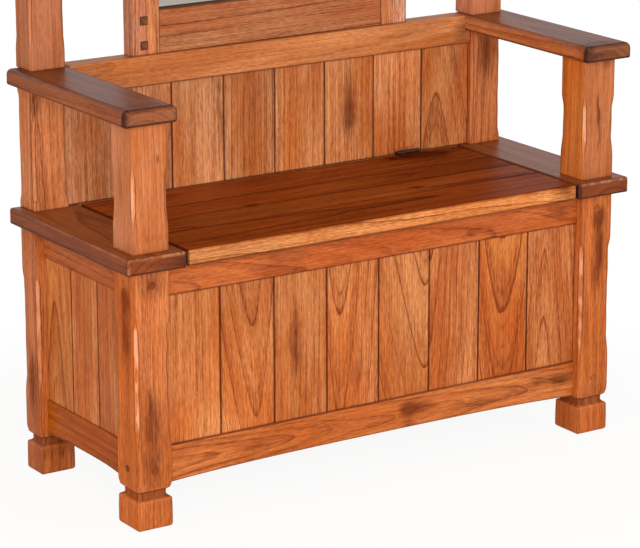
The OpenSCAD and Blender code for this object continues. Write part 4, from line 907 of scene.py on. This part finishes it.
def plug(start, axis, sign, length=plug_l, ring=0.6, **look):
    """A turned plug about its own axis, whose face rises by 0.3 (1 - (r/R)^2) mm above its rim. ring is
    how dark its rim is."""
    share = np.array([1, 1, 1, 0.97, 0.7, 0.02])
    a = np.linspace(0, 2 * np.pi, 32, endpoint=False)
    s = length * np.array([0.0, 0.4, 0.8, 1, 1, 1])
    s[3:] -= 0.0003 * share[3:] ** 2
    r = plug_r * share[:, None]
    local = np.stack([np.broadcast_to(s[:, None], (6, 32)), r * np.cos(a), r * np.sin(a)], -1)
    piece = timber("z", local, np.full(32, -1.0), np.zeros((32, 2)), pith=(0.0, 0.02), line=0.2, **look)
    piece["xyz"] = start + {"x": local * [sign, 1, 1], "y": local[..., [1, 0, 2]] * [1, sign, 1],
                            "z": local[..., [1, 2, 0]]}[axis]
    piece["flip"] = {"x": sign < 0, "y": sign > 0, "z": False}[axis]
    piece["marks"][2:4, :, 1] = ring
    return piece


plugs = []
for node, s, ring, stains in (("front_left_leg", -1, 0.6, ((0.8, 0.95), (0.9, 0.2))),
                              ("front_right_leg", 1, 0.25, ((0.35, 0.3), (0.5, 0.3)))):
    x, y, _ = box(node).mean(0)
    outer, front = box(node)[(s + 1) // 2, 0] - s * plug_sunk, box(node)[0, 1] + plug_sunk
    for z, (front_dark, side_dark) in zip(bore_z, stains):
        plugs += [plug((x, front, z), "y", -1, ring=ring, dark=front_dark, seed=160),
                  plug((outer, y, z), "x", s, dark=side_dark, seed=161)]
build("leg_plugs", plugs, post_wood)
front_y, rear_y, seat_dowel = -0.1545, 0.194, (0.427, 0.505)
build("post_dowels", [plug((x, y, z0), "z", 1, z1 - z0, seed=162) for x in (-0.4615, 0.4615)
                      for y, (z0, z1) in ((front_y, seat_dowel), (rear_y, seat_dowel),
                                          (front_y, (0.673, 0.714)), (rear_y, (0.673, 0.751)))], plain_wood)


# Coat hooks: cast iron double hooks on the mirror stiles, each a round-ended plate with two screws, and
# two prongs that curve up to a ball. Blackened like the hinges.
def prong(x, wall, z, height, run, bend, rise, ball):
    """Rings along a prong: straight out by run, a quarter turn of radius bend, up by rise, into a ball.
    The rod is 4.8 mm at its root, 3.4 mm at its neck, and the ball's radius is ball."""
    a = np.linspace(0, np.pi / 2, 14)
    b = np.linspace(-0.87, np.pi / 2 - 0.02, 14)
    y = np.concatenate([np.linspace(0, run, 6)[:-1], run + bend * np.sin(a), np.full(18, run + bend)])
    up = np.concatenate([np.zeros(5), bend * (1 - np.cos(a)),
                         bend + np.linspace(0, rise - 0.8 * ball, 5)[1:], bend + rise + ball * np.sin(b)])
    tilt = np.concatenate([np.zeros(5), a, np.full(18, np.pi / 2)])[:, None]
    radius = np.concatenate([np.linspace(4.8, 3.4, 23), ball * np.cos(b)])
    c = np.linspace(0, 2 * np.pi, 20, endpoint=False)
    side, lift = np.outer(radius, np.cos(c)), np.outer(radius, np.sin(c))
    return np.stack([x + side / 1000, wall - (y[:, None] - lift * np.sin(tilt)) / 1000,
                     z + (height + up[:, None] + lift * np.cos(tilt)) / 1000], -1)


def rounded_plate(x, wall, z, wide, tall, thick):
    """A plate with half-round ends whose front edge is rounded by 1.2 mm: its outline is drawn in by
    e = 1.2 (1 - sin a) at the depth 1.2 (1 - cos a)."""
    a = np.linspace(0, np.pi, 17)
    b = np.linspace(0, np.pi / 2, 5)
    base_x, base_z = np.concatenate([np.cos(a), -np.cos(a)]), np.concatenate([np.sin(a), -np.sin(a)])
    lift = np.repeat([1.0, -1.0], 17) * (tall - wide) / 2
    inset = np.concatenate([[0, 0], 1.2 * (1 - np.cos(b))[1:], [2.0, 4.0]])
    depth = np.concatenate([[0, thick - 1.2], thick - 1.2 + 1.2 * np.sin(b)[1:], [thick, thick]])
    r = wide / 2 - inset
    return np.stack([x + np.outer(r, base_x) / 1000, wall - np.outer(depth, np.ones(34)) / 1000,
                     z + (np.outer(r, base_z) + lift) / 1000], -1)


def screw_head(x, wall, z):
    """A countersunk screw: a circle of radius r mm at each distance s from the plate's face."""
    r, s = np.array([[1.6, 1.8, 3.6, 3.5, 2.4, 0.05], [-9.0, -2.2, 0, 0.35, 0.9, 1.1]]) / 1000
    a = np.linspace(0, 2 * np.pi, 24, endpoint=False)
    return np.stack([x + np.outer(r, np.cos(a)), wall - np.outer(s, np.ones(24)),
                     z + np.outer(r, np.sin(a))], -1)


hook_iron = iron("blackened_cast_iron", "27221e", "40302a")
hook_x, plate_t, screw_z, heads = 0.262, 4, 0.036, []
stile_face = box("left_mirror_stile")[0, 1]
front = stile_face - plate_t / 1000
for node, x, z in (("left_upper_hook", -hook_x, 1.6), ("left_lower_hook", -hook_x, 1.32),
                   ("right_upper_hook", hook_x, 1.6), ("right_lower_hook", hook_x, 1.32)):
    tubes = [rounded_plate(x, stile_face, z, 22, 88, plate_t), prong(x, front, z, 16, 22, 14, 16, 7),
             prong(x, front, z, -22, 8, 11, 4, 6)]
    finish(node, ring_mesh(node, tubes), hook_iron)
    heads += [screw_head(x, front, z - screw_z), screw_head(x, front, z + screw_z)]
finish("hook_screws", ring_mesh("hook_screws", heads), hook_iron)


# Floor and light: a white studio with one broad lamp beside the camera, a second to its left and a
# weak one on the right. The floor and the surroundings look white to the camera.
plane = bpy.data.meshes.new("floor")
plane.from_pydata([(-30, -30, 0), (30, -30, 0), (30, 30, 0), (-30, 30, 0)], [], [(0, 1, 2, 3)])
floor_paint = bpy.data.materials.new("white_floor")
t = cleared(floor_paint)
reach = add(t, "VectorMath", {0: add(t, "TexCoord").outputs["Object"]}, operation="LENGTH").outputs["Value"]
shown = add(t, "MapRange", {"Value": reach, "From Min": 0.55, "From Max": 1.3, "To Min": 0.9, "To Max": 1.0},
            interpolation_type="SMOOTHSTEP").outputs[0]
camera_ray = add(t, "LightPath").outputs["Is Camera Ray"]
shown = add(t, "Math", {0: camera_ray, 1: shown}, operation="MULTIPLY").outputs[0]
look = add(t, "MixShader", {0: shown, 1: add(t, "BsdfDiffuse", {"Color": linear("f4f4f4")}).outputs[0],
                            2: add(t, "Emission", {"Color": (1, 1, 1, 1), "Strength": 1.02}).outputs[0]})
add(t, "OutputMaterial", {"Surface": look.outputs[0]})
plane.materials.append(floor_paint)
placed("floor", plane)
world = bpy.data.worlds.new("studio")
bpy.context.scene.world = world
t = cleared(world)
path = add(t, "LightPath").outputs
lit = add(t, "Background", {"Color": linear("faf4ec"), "Strength": 0.42})
seen = add(t, "Background", {"Color": (1, 1, 1, 1), "Strength": 1.0})
share = add(t, "Math", {0: path["Is Glossy Ray"], 1: 0.7, 2: path["Is Camera Ray"]},
            operation="MULTIPLY_ADD")
both = add(t, "MixShader", {0: share.outputs[0], 1: lit.outputs[0], 2: seen.outputs[0]})
add(t, "OutputWorld", {"Surface": both.outputs[0]})


def lamp(name, place, size, watts, colour):
    """A square area lamp at place, turned towards the middle of the chest's lid."""
    light = bpy.data.lights.new(name, "AREA")
    light.size, light.energy, light.color = size, watts, linear(colour)[:3]
    back = Vector(place) - Vector((0, 0, 0.5))
    turned = back.to_track_quat("Z", "Y").to_matrix().to_4x4()
    placed(name, light).matrix_world = Matrix.Translation(place) @ turned


lamp("key", (-2.3, -4.0, 1.75), 2.2, 158, "fff6ea")
lamp("left", (-3.8, -0.6, 1.7), 1.8, 28, "ffd9b4")
lamp("right", (2.6, -3.0, 1.8), 2.0, 35, "ffffff")


# Camera: fitted to the photograph's edges and corners, a long lens 5.1 m away, 15.7 degrees above the
# horizon and 33 degrees to the left of straight ahead.
def camera(place, azimuth, pitch, roll, lens):
    """A camera at place that looks along azimuth and down by pitch, in degrees."""
    data = bpy.data.cameras.new("photo_camera")
    data.lens, data.sensor_width = lens, 36.0
    data.clip_start, data.clip_end = 0.1, 60
    item = placed("photo_camera", data)
    item.matrix_world = Matrix.Translation(place)
    for angle, axis in ((azimuth, "Z"), (90 - pitch, "X"), (roll, "Z")):
        item.matrix_world = item.matrix_world @ Matrix.Rotation(np.radians(angle), 4, axis)
    bpy.context.scene.camera = item


camera((-2.79266, -4.28072, 1.76795), -33.02, 15.72, -0.11, 167.98)
bpy.context.scene.view_settings.view_transform = "Standard"
